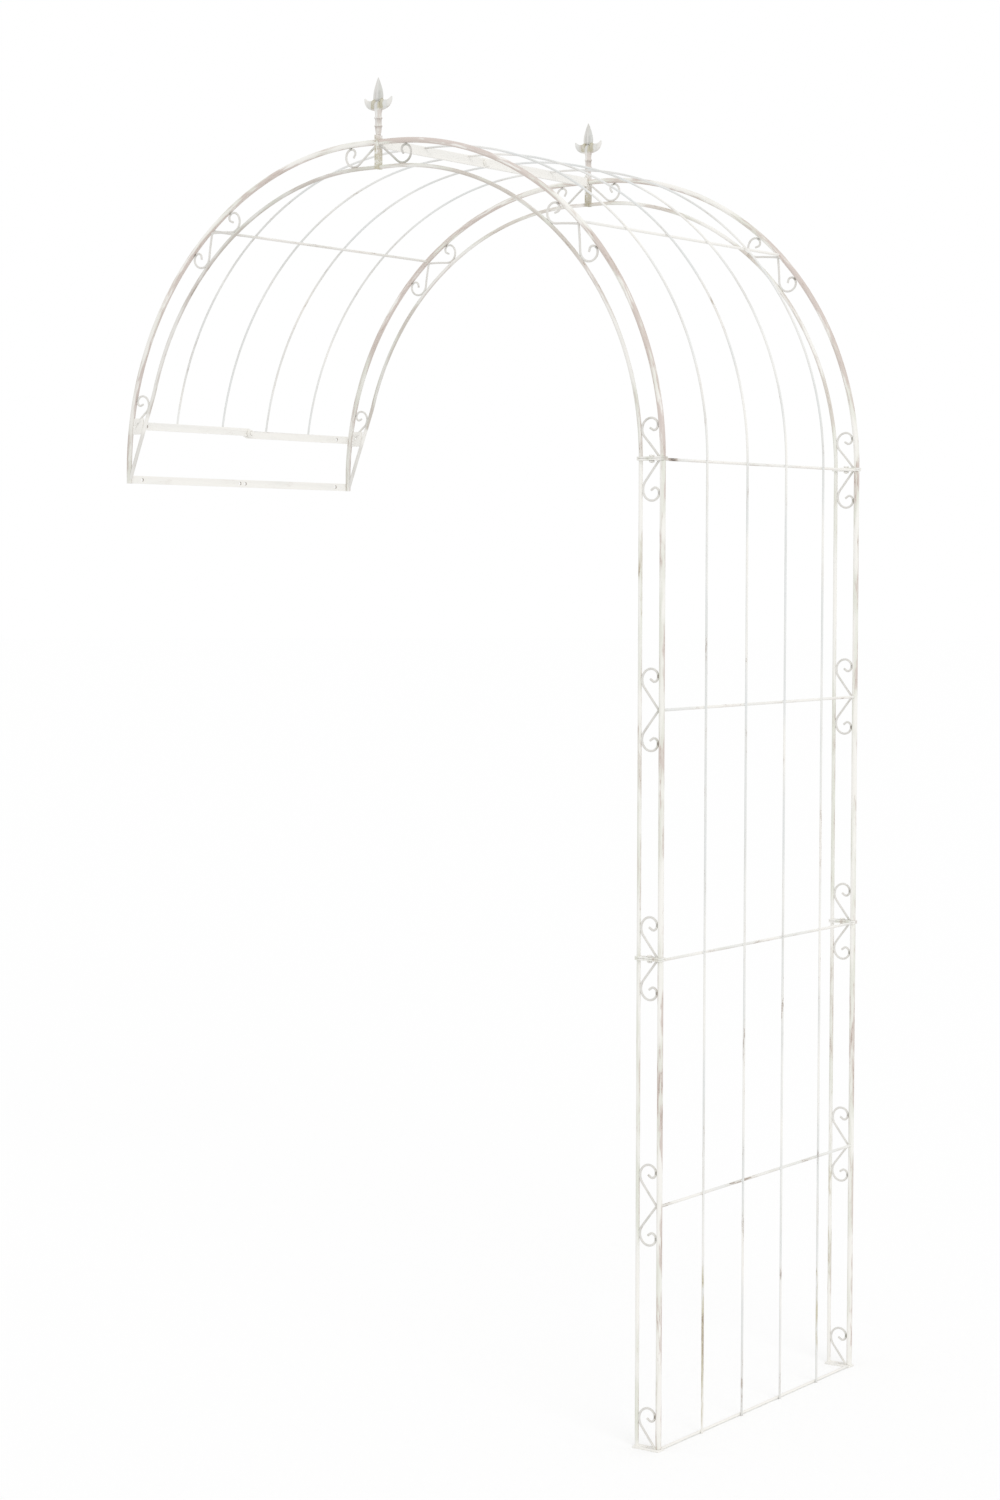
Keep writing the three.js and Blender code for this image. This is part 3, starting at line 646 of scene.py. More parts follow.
def paint_for(finish):
    """Worn antique white paint: tinted drifts, rubbed streaks that run with the bar, and specks,
    with painted shade on the side facing down and right.
    """
    name = "worn_" + finish
    made = bpy.data.materials.get(name)
    if made:
        return made
    paints = bpy.context.scene.arch_paints
    wear = dict(zip(WEAR, FINISHES[finish]))
    shade = Shade(bpy.data.materials.new(name))
    grain = shade.attribute("grain", "Vector")
    rub, blush, moss, soil = (shade.attribute(mark, "Fac") for mark in MARKS)
    shaded_side = shade.attribute("shaded_side", "Fac")
    fresh = blush.least(0.0)

    # Noise from broad to fine
    drift = shade.noise(grain, (6.0, 60.0, 12.0), (0.0, 0.0, 0.0), 2.0)
    haze = shade.noise(grain, (11.0, 90.0, 30.0), (5.1, 2.3, 8.7), 3.0)
    streak = shade.noise(grain, (38.0, 330.0, 330.0), (1.7, 9.2, 4.4), 4.0, 0.6)
    speck = shade.noise(grain, (420.0, 700.0, 700.0), (3.3, 1.1, 6.6), 2.0, 0.6)

    # How much of each tint shows
    grey = (drift + fresh * 0.1).step(0.3, 0.62) * wear["grey"]
    pale = haze * 0.5 + drift * 0.5 + rub * 0.15 + fresh * 0.1
    olive = pale.step(0.42, 0.58) * wear["olive"]
    # The shaded side adds painted shade here: more rose tan on the side facing down and right
    tan = haze + (streak - 0.5) * 0.6 + rub * 0.3 + shaded_side * 0.2 + blush * 0.12
    rose = tan.step(0.54, 0.7) * wear["rose"]
    damp = streak * 0.6 + haze * 0.4 + moss * 0.3 + fresh * 0.1
    green = damp.step(0.6, 0.78) * GREEN_STRENGTH
    # The shaded side also adds a little painted shade as rust on the side facing down and right
    worn = streak + (haze - 0.5) * 0.6 + (speck - 0.5) * 0.35
    worn = worn + rub * 0.32 + shaded_side * 0.06 + fresh * 0.05
    rust = worn.step(0.66, 0.78) * wear["rust"]
    chipped = streak + (speck - 0.5) * 0.6
    bare = chipped + rub * 0.3 + soil * 0.05 + fresh * 0.06
    dark = bare.step(0.74, 0.88) * wear["dark"]
    # Soil darkens towards soot: dirt on posts and burnt welds, and painted shade under the finial's
    # beads, in its hollows and on the scroll wires
    dirt_and_shade = soil * (haze + 0.5) * DIRT_AND_SHADE_STRENGTH

    # Tints over one another
    color = paints.cream
    tints = [(grey, "grey"), (olive, "olive"), (rose, "rose"), (green, "moss"), (rust, "rust")]
    tints.append((dark.most(dirt_and_shade), "soot"))
    if finish == "fastener_paint":
        tints.append((chipped.step(0.6, 0.72) * BARE_HEAD_STRENGTH, "zinc"))
    for amount, tone in tints:
        color = shade.blend(amount, color, getattr(paints, tone))
    bare_share = rust.most(dark)
    height = (1.0 - bare_share) * 0.6 + speck * 0.25 + streak * 0.15
    bump = {"Strength": wear["bump"], "Distance": BUMP_DISTANCE, "Height": height}
    return shade.surface({
        "Base Color": color,
        "Roughness": bare_share * 0.2 + wear["rough"] + (speck - 0.5) * 0.15,
        "Specular IOR Level": 0.4,
        "Normal": shade.node("ShaderNodeBump", {}, bump),
    })


# Pieces
def outer_tubes():
    """Outer tubes of the two frames, each in four lengths."""
    sizes, line = arch_sizes()
    under = sizes.plate_thickness + sizes.fit
    over = sizes.plate_thickness + 2 * sizes.fit
    wall_end = line.springing - sizes.low_bar_drop - sizes.wall_bar_width / 2
    # Part, the two ends of its run, and its side: 1 for the leg, -1 for the wall
    lengths = (
        ("lower_leg", sizes.foot_thickness + sizes.fit, line.joint - under, 1),
        ("upper_leg", line.joint + over, line.springing - under, 1),
        ("leg_side_roof", line.springing + over, line.stop, 1),
        ("wall_side_roof", wall_end, line.stop, -1),
    )
    radius = sizes.tube_radius
    for part, low, high, side in lengths:
        run_tube(line, low, high, 0.0, side, -line.frame_y, radius, TUBE_SIDES, fill="NOTHING")
        use_modifier("SOLIDIFY", thickness=sizes.tube_wall, offset=-1.0, use_rim=True)
        show_pair(close_piece("tube"), "hoop_paint", f"{part}_hoop", f"{part}_tube", 11.0)


class Scroll:
    """A straight arm from the hoop to the rail, then a curl that tightens steadily.

    It is drawn on a straight line: x is the inset from the hoop and z runs along the hoop.
    """

    def __init__(self, sizes, reach):
        stand = sizes.tube_radius + sizes.fit
        self.reach = reach
        self.mean = (reach - (stand + sizes.wire_radius)) / 2
        self.slope = -self.mean * sizes.curl_tighten
        self.arm, self.end = sizes.arm_angle, sizes.curl_end_angle
        self.root = stand + sizes.wire_radius * math.sin(self.arm)
        self.lead, self.tail = sizes.arm_lead, sizes.curl_tail
        self.touch = self.curl(math.pi / 2)[0]
        inset, along = self.curl(self.arm)
        run = self.reach + inset - self.touch - self.root
        self.rise = run * math.tan(self.arm) - along + self.lead
        # Where the curl meets the rail, and where it meets the tube
        self.rail_along = self.place(math.pi / 2)[1]
        self.tube_along = self.place(3 * math.pi / 2)[1]
        carry(self.points(), sizes.wire_radius, WIRE_SIDES)
        self.pattern = close_piece("scroll", ROUND_SMOOTH)

    def curl(self, angle):
        radius = self.mean + self.slope * (angle - math.pi)
        sine, cosine = math.sin(angle), math.cos(angle)
        return radius * sine + self.slope * cosine, self.slope * sine - radius * cosine

    def place(self, angle):
        """(inset, along) of the curl at an angle."""
        inset, along = self.curl(angle)
        return self.reach + inset - self.touch, along + self.rise

    def points(self):
        """(inset, along) from the root to the tip."""
        turned = self.end - self.arm
        curl = [self.place(self.arm + turned * k / CURL_STEPS) for k in range(CURL_STEPS + 1)]
        foot = (self.root, self.lead)
        arm = [tuple(a + (b - a) * k for a, b in zip(foot, curl[0])) for k in (0.0, 0.35, 0.7)]
        last, tip = curl[-2:]
        stretch = self.tail / math.dist(last, tip)
        return [*arm, *curl, tuple(b + (b - a) * stretch for a, b in zip(last, tip))]

    def lay(self, line, root, way, side):
        """Copy of the scroll laid along the hoop line from its root, upwards or downwards."""
        twin = copy_piece(self.pattern, "laid", Matrix.Identity(4))
        for vertex in twin.data.vertices:
            inset, across, along = vertex.co
            x, z = line.place(root + way * along, inset)
            vertex.co = (side * x, across - line.frame_y, z)
        if side * way > 0:
            twin.data.flip_normals()
        return twin


def wall_rail_inset(sizes, line, s):
    """Inset of the wall side rail: it leaves the bend on a straight line, ends on the tube."""
    full_run = sizes.rail_leave_run + sizes.rail_join_drop
    run = min(max((s - line.springing + sizes.rail_join_drop) / full_run, 0.0), 1.0)
    bulge = full_run ** 2 / (2 * (line.radius - sizes.rail_gap / 2))
    join_inset = sizes.rail_join_inset
    return join_inset + (sizes.rail_gap - join_inset) * run + bulge * run * (1.0 - run)


def level_plate(sizes, line, z, thickness, width, hole_radius):
    """Drilled plate across the tube and the rail of the front frame."""
    low = line.half - sizes.rail_gap - sizes.rail_radius
    high = line.half + sizes.tube_radius
    y = -line.frame_y
    corners = (low, y - width / 2, z), (high, y + width / 2, z + thickness)
    hole = (line.half - sizes.rail_gap / 2, y, z + thickness / 2)
    return cut(block(*corners, 0.4 * MM), [drill(hole, hole_radius, "Z")])


def crown_post(sizes, line, side):
    """Flat post at the crown of the front frame, from the rail past the tube."""
    low = line.crown - sizes.rail_gap - sizes.rail_radius
    high = line.crown + sizes.tube_radius + sizes.post_rise
    faces = sorted((side * sizes.fit / 2, side * (sizes.fit / 2 + sizes.plate_thickness)))
    half, y = sizes.plate_width / 2, -line.frame_y
    return block((faces[0], y - half, low), (faces[1], y + half, high), 0.4 * MM)


def wall_lug(sizes, line):
    """Flat lug at the wall end, sheared to the lean of the tube, with its hole."""
    low = line.springing + sizes.lug_low_rise
    high = low + sizes.lug_height

    def edge(z):
        run = line.rise_to_run(z - line.springing)
        return -line.place(run, sizes.tube_radius + sizes.fit)[0]

    half, y = sizes.lug_thickness / 2, -line.frame_y
    lug = block((0.0, y - half, low), (sizes.lug_reach, y + half, high), 0.3 * MM)
    for vertex in lug.data.vertices:
        vertex.co.x += edge(vertex.co.z)
    hole_z = high - sizes.lug_hole_drop - sizes.lug_hole_radius
    hole = (edge(hole_z) + sizes.lug_reach / 3, y, hole_z)
    return cut(lug, [drill(hole, sizes.lug_hole_radius, "Y")])


def inner_rail(sizes, line, side, low, high, inset_at):
    """Rail of the front frame, at the inset that it has at each place of its run."""
    steps = rings_between(low, high)
    points = []
    for k in range(steps + 1):
        s = low + (high - low) * k / steps
        x, z = line.place(s, inset_at(s))
        points.append((side * x, z))
    carry(points, sizes.rail_radius, RAIL_SIDES, y=-line.frame_y)
    return close_piece("rail", ROUND_SMOOTH)


def rail_marks(burnt):
    """Marks of a rail group: burnt welds, stained posts, paler foot and lug, and scroll wires
    greyed with painted shade.
    """
    sizes, line = arch_sizes()
    post_side = sizes.fit + sizes.plate_thickness
    post_end = line.frame_y + sizes.plate_width
    post_low = line.crown - sizes.rail_gap - 2 * sizes.plate_thickness
    crown_low = line.crown - 2 * sizes.rail_gap
    lug_middle = line.springing + sizes.lug_low_rise + sizes.lug_height / 2
    wire_low = 2 * sizes.wire_radius
    wire_high = sizes.rail_gap - sizes.rail_radius - 0.5 * MM

    def amount(place):
        x, y, z = place
        if any(math.hypot(x - spot_x, z - spot_z) < BURNT_REACH for spot_x, spot_z in burnt):
            return {"soil": 2.2, "blush": 0.4}
        if abs(x) < post_side and abs(y) < post_end and z > post_low:
            if z > line.crown + sizes.tube_radius:
                return {"moss": 0.3, "blush": 0.8, "soil": 0.2}
            near, far = {"moss": 0.95, "soil": 0.3}, {"moss": 0.9, "blush": 1.3, "soil": 1.0}
            return near if y < 0 else far
        if z < 2 * sizes.foot_thickness:
            return {"blush": -1.5}
        if x < 0 and abs(z - lug_middle) < 0.55 * sizes.lug_height:
            return {"blush": -2.5, "soil": 0.2}
        # Scroll wires: their soil is painted shade that greys the thin wires, most on the front leg
        # side near the crown
        if not wire_low < line.run_of(x, z)[1] < wire_high:
            return {}
        if z > crown_low and x > 0 and y < 0:
            return {"soil": 1.6, "blush": -0.5}
        return {"soil": 0.9, "blush": -1.5}

    return amount


def frame_rails():
    """Inner rails with their plates, scrolls and welds, one welded group for each length."""
    sizes, line = arch_sizes()
    fit, plate, wire = sizes.fit, sizes.plate_thickness, sizes.wire_radius
    tube_side = sizes.tube_radius + fit
    full = Scroll(sizes, sizes.rail_gap - sizes.rail_radius - wire + sizes.weld_bite)
    wall_root = line.rise_to_run(sizes.wall_scroll_rise)
    wall_inset = wall_rail_inset(sizes, line, wall_root + full.rail_along)
    narrow = Scroll(sizes, wall_inset - sizes.rail_radius - wire + sizes.weld_bite)
    burnt = []
    marks = rail_marks(burnt)

    def plate_at(z):
        bolt_hole = JOINT_BOLT["radius"] + fit
        return level_plate(sizes, line, z, plate, sizes.plate_width, bolt_hole)

    def laid_scroll(scroll, root, way, side):
        """A scroll with the welds at the rail, at the tube and at its root."""
        pieces = [scroll.lay(line, root, way, side)]
        root_weld = max(root + way * 1.0 * MM, 3.2 * MM)
        # Run and inset, then millimetres backwards and of radius, and stretch
        welds = (
            (root + way * scroll.rail_along, scroll.reach + wire * 0.75, 1.6, 2.6, (0.7, 0.8, 1.3)),
            (root + way * scroll.tube_along, tube_side + 1.0 * MM, 0.8, 2.0, (0.8, 0.9, 1.2)),
            (root_weld, tube_side + 1.2 * MM, 0.0, 2.4, (0.8, 1.1, 1.2)),
        )
        spots = []
        for along, inset, behind, radius, stretch in welds:
            x, z = line.place(along, inset)
            place = (side * x, behind * MM - line.frame_y, z)
            pieces.append(weld(place, radius * MM, stretch))
            spots.append((side * x, z))
        burnt.append(spots[1])
        return pieces

    def group(part, side, plates, rail_ends, roots, lowest=full, inset_at=None):
        """One length: rail, plates, a scroll at either end and one each way from the crossbar."""
        steady = sizes.rail_gap
        rail = inner_rail(sizes, line, side, *rail_ends, inset_at or (lambda _: steady))
        low, middle, high = roots
        pieces = [rail, *plates]
        # Root, way up or down, and shape of each scroll
        rows = ((low, 1, lowest), (middle, 1, full), (middle, -1, full), (high, -1, full))
        for root, way, scroll in rows:
            pieces.extend(laid_scroll(scroll, root, way, side))
        whole = join("group", pieces)
        show_pair(whole, "rail_paint", f"{part}_rail_and_scrolls", f"{part}_rail", 7.0, wear=marks)

    low, top = sizes.foot_thickness, line.joint - plate
    foot = level_plate(sizes, line, 0.0, low, sizes.foot_width, sizes.foot_hole_radius)
    ends = (low / 2, top + plate / 2)
    group("lower_leg", 1, [foot, plate_at(top)], ends, (low - wire, sizes.bay, top + wire))

    low, top = line.joint + fit, line.springing - plate
    ends = (low + plate / 2, top + plate / 2)
    roots = (low + plate - wire, line.joint + sizes.bay, top + wire)
    group("upper_leg", 1, [plate_at(low), plate_at(top)], ends, roots)

    low = line.springing + fit
    top = line.crown_middle - (fit / 2 + plate / 2)
    post_root = line.crown_middle - fit / 2 - plate - sizes.crown_scroll_gap
    plates = [plate_at(low), crown_post(sizes, line, 1)]
    roots = (low + plate - wire, line.leg_cross, post_root)
    group("leg_side_roof", 1, plates, (low + plate / 2, top), roots)

    plates = [crown_post(sizes, line, -1), wall_lug(sizes, line)]
    ends = (line.springing - sizes.rail_join_drop, top)
    roots = (wall_root, line.wall_cross, post_root)

    def wall_inset_at(s):
        return wall_rail_inset(sizes, line, s)

    group("wall_side_roof", -1, plates, ends, roots, narrow, wall_inset_at)
    for spare in (full, narrow):
        bpy.data.objects.remove(spare.pattern)


def climbing_rods():
    """Thin climbing rods on the outer side of the crossbars, with a weld at each crossing."""
    sizes, line = arch_sizes()
    offset = sizes.cross_radius + sizes.rod_radius + sizes.fit
    spacing = sizes.depth / (sizes.rods_across + 1)
    under = sizes.plate_thickness / 2
    upper = line.joint + sizes.fit
    for i in range(sizes.rods_across):
        y = (i + 1) * spacing - line.frame_y
        lift = sizes.lap_step / 2 if y < sizes.lap_bolt_y else -sizes.lap_step / 2
        bar_top = sizes.high_bar_rise + lift + sizes.wall_bar_width / 2 + sizes.fit
        wall_start = line.rise_to_run(bar_top, offset)
        legs = (sizes.bay, line.joint - under), (line.joint + sizes.bay, line.springing - under)
        # Part, the two ends of its run, its side, and the crossbars that it is welded to
        lengths = (
            ("lower_leg", 0.0, line.joint, 1, legs[0]),
            ("upper_leg", upper, line.springing, 1, legs[1]),
            ("leg_side_roof", line.springing + sizes.fit, line.stop, 1, [line.leg_cross]),
            ("wall_side_roof", wall_start, line.stop, -1, [line.wall_cross]),
        )
        for part, low, high, side, crossings in lengths:
            run_tube(line, low, high, -offset, side, y, sizes.rod_radius, WIRE_SIDES)
            pieces = [close_piece("rod", ROUND_SMOOTH)]
            for s in crossings:
                x, z = line.place(min(s, high - 1.5 * MM), -offset + sizes.rod_radius)
                pieces.append(weld((side * x, y, z), 2.7 * MM, (0.9, 1.25, 0.8)))
            rod = join(f"{part}_climbing_rod_{i + 1}", pieces)
            show(rod, "rod_paint", [f"{part}_rod_{i + 1}"], seed=1.7 * i)


def cross_rod(name, node, x, z, half):
    """Round bar across the arch between the two frames, its ends broken by a small bevel."""
    sizes, _ = arch_sizes()
    bpy.ops.object.select_all(action="DESELECT")
    bpy.ops.mesh.primitive_cylinder_add(
        vertices=CROSS_SIDES,
        radius=sizes.cross_radius,
        depth=2 * half,
        location=(x, 0.0, z),
        rotation=(math.pi / 2, 0.0, 0.0),
    )
    choose_edges(lambda a, b: abs(a.y - b.y) > half)
    bpy.ops.mesh.subdivide_edgering(number_cuts=CROSS_CUTS)
    choose_edges(lambda a, b: all(abs(abs(end.y) - half) < TOUCH for end in (a, b)))
    bpy.ops.mesh.bevel(offset=0.4 * MM, segments=2, affect="EDGES")
    show(close_piece(name, ROUND_SMOOTH), "crossbar_paint", [node], "across", seed=z)


def crossbars():
    """Round bars across the arch at each level."""
    sizes, line = arch_sizes()
    tube_half = line.frame_y - sizes.tube_radius - sizes.fit
    plate_half = line.frame_y - sizes.plate_width / 2 - sizes.fit
    foot_half = line.frame_y - sizes.foot_width / 2 - sizes.fit
    cross_rod("foot_cross_rod", "foot_crossbar", line.half, sizes.cross_radius, foot_half)
    for level in range(1, sizes.bays + 1):
        jointed = level % 2 == 0
        z = level * sizes.bay - (sizes.plate_thickness / 2 if jointed else 0.0)
        half = plate_half if jointed else tube_half
        cross_rod(f"leg_cross_rod_{level}", f"leg_crossbar_{level}", line.half, z, half)
    for part, cross, side in (("leg", line.leg_cross, 1), ("wall", line.wall_cross, -1)):
        x, z = line.place(cross)
        name = f"{part}_side_roof_cross"
        cross_rod(f"{name}_rod", f"{name}bar", side * x, z, tube_half)


def flat_bar(name, low, high, screws, bolts, round_y=None, seed=0.0, length=DRILL_LENGTH):
    """Flat bar facing along X: its end at round_y rounded, drilled, its edges broken."""
    sizes, _ = arch_sizes()
    bar = block(low, high, 0.0)
    if round_y is not None:
        choose_edges(
            lambda a, b: abs(a.x - b.x) > 0.1 * MM
            and all(abs(end.y - round_y) < TOUCH for end in (a, b))
        )
        radius = sizes.wall_bar_width / 2
        bpy.ops.mesh.bevel(offset=radius * 0.98, segments=9, affect="EDGES")
        bpy.ops.object.mode_set(mode="OBJECT")
    tools = [drill(place, sizes.wall_hole_radius, "X") for place in screws]
    tools += [drill(place, BAR_BOLT["radius"] + sizes.fit, "X", length) for place in bolts]
    cut(bar, tools)
    pick([bar])
    use_modifier(
        "BEVEL", width=0.5 * MM, segments=2, limit_method="ANGLE", angle_limit=math.radians(40)
    )
    bpy.ops.object.shade_smooth_by_angle(angle=math.radians(45))
    rename(bar, f"{name}_flat")

    def inside(face):
        """Whether a face lies inside one of the screw holes."""
        away = [math.hypot(face.center.y - y, face.center.z - z) for _, y, z in screws]
        edge = sizes.wall_hole_radius + 0.3 * MM
        return bool(away) and min(away) < edge and abs(face.normal.x) < 0.9

    show(bar, "flat_paint", [f"{name}_bar"], "across", seed=seed, stain=inside)


def flat_bars():
    """Crown bars back to back at the top, and the low and high wall bars."""
    sizes, line = arch_sizes()
    fit = sizes.fit
    end = line.frame_y - sizes.plate_width / 2 - fit
    high = line.crown + sizes.crown_bar_lift
    low = high - sizes.crown_bar_height
    bolt = (0.0, -sizes.crown_bolt_y, (high + low) / 2)
    for name, side in (("leg_side_crown", 1), ("wall_side_crown", -1)):
        near, far = sorted((side * fit / 2, side * (fit / 2 + sizes.plate_thickness)))
        corners = (near, -end, low), (far, end, high)
        flat_bar(name, *corners, [], [bolt], seed=side, length=LONG_DRILL)

    half, thick = sizes.wall_bar_width / 2, sizes.wall_bar_thickness
    meet = sizes.tube_radius + fit

    def bar_end(offset):
        return line.frame_y - math.sqrt(meet ** 2 - offset ** 2)

    back = -line.half - sizes.tube_radius
    z = line.springing - sizes.low_bar_drop
    end = bar_end(sizes.tube_radius - thick)
    far_y = line.frame_y - sizes.low_hole_inset
    near_y = sizes.low_pair_spacing / 2
    screws = [(back + thick / 2, y, z) for y in (-far_y, -near_y, near_y, far_y)]
    flat_bar("low_wall", (back, -end, z - half), (back + thick, end, z + half), screws, [])

    lap_y, lap_z = sizes.lap_bolt_y, line.springing + sizes.high_bar_rise
    tube_x = line.place(line.rise_to_run(sizes.high_bar_rise))[0]
    far_y = line.frame_y - sizes.high_hole_inset
    back_x = -tube_x - sizes.tube_radius - fit
    front_end = sizes.tube_radius + fit - line.frame_y
    # Name, wall face, rounded end, other end, screw, 1 up or -1 down from the lap, and seed
    rows = (
        ("back_high_wall", back_x, lap_y - half, bar_end(meet - thick), far_y, -1, 2.0),
        ("front_high_wall", back_x + thick + fit, lap_y + half, front_end, -far_y, 1, 4.0),
    )
    for name, x, round_y, end, screw_y, way, seed in rows:
        z = lap_z + way * sizes.lap_step / 2
        low_y, high_y = sorted((round_y, end))
        corners = (x, low_y, z - half), (x + thick, high_y, z + half)
        flat_bar(name, *corners, [(x, screw_y, z)], [(x, lap_y, lap_z)], round_y, seed)


def raise_rings(rings, y, base):
    """Pushes the open ring up from height to height, swollen to each width and thickness."""
    height, wide, thick = rings[0]
    for next_height, next_wide, next_thick in rings[1:]:
        push((0.0, 0.0, next_height - height))
        swell((next_wide / wide, next_thick / thick, 1.0), (0.0, y, base + next_height))
        height, wide, thick = next_height, next_wide, next_thick
    tidy_shell()


def turned(profile, sides, y=0.0, base=0.0):
    """Turned part from its heights and radii."""
    height, radius = profile[0]
    start(sides, radius, (0.0, y, base + height))
    raise_rings([(height, radius, radius) for height, radius in profile], y, base)
    return close_piece("turned", 40.0)


def ring_bead(middle, height=4, neck=5.8, ring=7.2):
    """Heights and radii of a rounded bead on the stem of a finial, in millimetres."""
    steps = ((-0.5, 0.0), (-0.44, 0.45), (-0.3, 0.85), (0, 1), (0.3, 0.85), (0.44, 0.45), (0.5, 0))
    return [(middle + up * height, neck + out * (ring - neck)) for up, out in steps]


# Finial in millimetres: heights and radii of its stem, heights, widths and thicknesses of its
# pointed leaf, and inset, height, width and thickness of a side leaf and a petal
STEM = [
    (0, 4.4), (2, 4.4), (5, 5.2), (9, 5.8), *ring_bead(15.5), *ring_bead(29.5),
    (38, 5.8), (42, 6.8), (47, 8.2), (53, 8.0), (58, 5),
]
LEAF = [
    (57, 3.5, 2.6), (60, 8.0, 4.0), (62, 10.4, 4.6), (65, 11.1, 4.8), (69, 11.2, 4.8),
    (74, 10.6, 4.6), (80, 9.2, 4.2), (86, 7.2, 3.5), (91, 5.1, 2.7), (95, 3.4, 2.0),
    (98.5, 1.7, 1.2), (101, 0.4, 0.4),
]
SIDE_LEAF = [
    (0, 50, 4.5, 4.0), (4, 50.5, 6.5, 4.6), (8, 51.5, 9.2, 4.9), (12, 52.5, 8.8, 4.8),
    (16, 53, 8.3, 4.6), (20, 54, 7.4, 4.3), (23.5, 56, 6.0, 3.8), (26.3, 58.8, 4.5, 3.2),
    (28.3, 61.8, 3.0, 2.6), (29.6, 64.6, 1.5, 1.6), (30.2, 66.0, 0.6, 0.8),
]
PETAL = [
    (3.5, 45, 1.0, 2.0), (6.5, 49, 3.0, 5.2), (8.8, 53, 4.3, 6.2),
    (9.6, 57, 4.5, 6.2), (9.0, 60.5, 3.4, 5.4), (7.4, 63, 1.0, 3.0),
]
# Corners that are drawn in: the flanks of the pointed leaf, the faces of the side leaves
LEAF_HOLLOW = (1.0, 0.73, 0.64, 0.73)
SIDE_LEAF_HOLLOW = {3: 0.78, 4: 0.5, 5: 0.78, 11: 0.78, 12: 0.5, 13: 0.78}


def carried_leaf(name, rows, hollow, y, base):
    """Leaf carried along its rows, hollowed and smoothed, with its twin on the other side."""
    points = [(x * MM, base + z * MM) for x, z, _, _ in rows]
    carry(points, 1 * MM, LEAF_SIDES, [row[2:] for row in rows], y)
    bpy.ops.object.mode_set(mode="OBJECT")
    for k, vertex in enumerate(bpy.context.object.data.vertices):
        vertex.co.y *= hollow.get(k % LEAF_SIDES, 1.0)
    use_modifier("SUBSURF", levels=1, render_levels=1)
    leaf = close_piece(name, FLAT_SMOOTH)
    return leaf, copy_piece(leaf, f"other_{name}", Matrix.Scale(-1, 4, (1, 0, 0)))


def finials():
    """Cast finials on the crown posts: a turned stem, a pointed leaf, side leaves and petals."""
    sizes, line = arch_sizes()
    y = -line.frame_y
    base = line.crown + sizes.tube_radius + sizes.post_rise + sizes.fit
    stem = turned([(height * MM, radius * MM) for height, radius in STEM], TUBE_SIDES, y, base)

    # Pointed leaf with hollow faces either side of its midrib
    rings = [(height * MM, wide, thick) for height, wide, thick in LEAF]
    height, wide, thick = rings[0]
    place = (0.0, y, base + height)
    start(LEAF_SIDES, 1 * MM, place)
    bpy.ops.object.mode_set(mode="OBJECT")
    for k, vertex in enumerate(bpy.context.object.data.vertices):
        vertex.co *= LEAF_HOLLOW[k % len(LEAF_HOLLOW)]
    edit_all()
    swell((wide, thick, 1.0), place)
    raise_rings(rings, y, base)
    leaf = close_piece("leaf", 28.0)

    # Side leaves lean out of the cup and turn up at their tips, petals stand beside the leaf
    wings = carried_leaf("wing", SIDE_LEAF, SIDE_LEAF_HOLLOW, y, base)
    petals = carried_leaf("petal", PETAL, {}, y, base)
    whole = join("finial", [stem, leaf, *wings, *petals])
    marks = finial_marks(base)
    show_pair(whole, "finial_paint", "cast_finial", "finial", 3.0, lengthwise="up", wear=marks)


def finial_marks(base):
    """Marks of a finial: pinkish stem with painted shade under its beads, soiled leaf with painted
    shade in its fork and beside its midrib, stained petals.
    """

    def amount(place):
        x, z = abs(place.x) / MM, (place.z - base) / MM
        # Painted shade: soil and rub just under the two beads of the stem
        bead_shade = max(0.0, 1.0 - abs(z - 13.2) / 1.8, 1.0 - abs(z - 27.0) / 1.8)
        if z < 45:
            return {"blush": 1.2, "rub": 0.3 * bead_shade, "soil": 1.3 * bead_shade}
        if z < 64 and x > 3:
            on_petal = {"blush": 0.0, "moss": 0.9, "soil": 0.6}
            return on_petal if x < 13 else {"blush": 0.0, "moss": 0.0, "soil": 0.5}
        # Painted shade: darker in the fork where the leaf meets the petals, and on the flanks
        # beside the midrib
        fork_shade = max(0.0, 1.0 - abs(z - 60.0) / 4)
        rib_side_shade = 0.6 if 1.5 < x < 7 and z < 78 else 0.0
        return {"blush": -0.5, "soil": 0.8 + rib_side_shade + fork_shade, "rub": 0.5 * fork_shade}

    return amount


def hexagon(name, flats, low, height, broken, bevel):
    """Hexagonal stock standing on z = low, with the edges that pass the test broken."""
    start(6, flats / 2 / math.cos(math.pi / 6), (0.0, 0.0, low))
    push((0.0, 0.0, height))
    tidy_shell()
    choose_edges(broken)
    bpy.ops.mesh.bevel(offset=bevel, segments=2, affect="EDGES")
    return close_piece(name, 30.0)


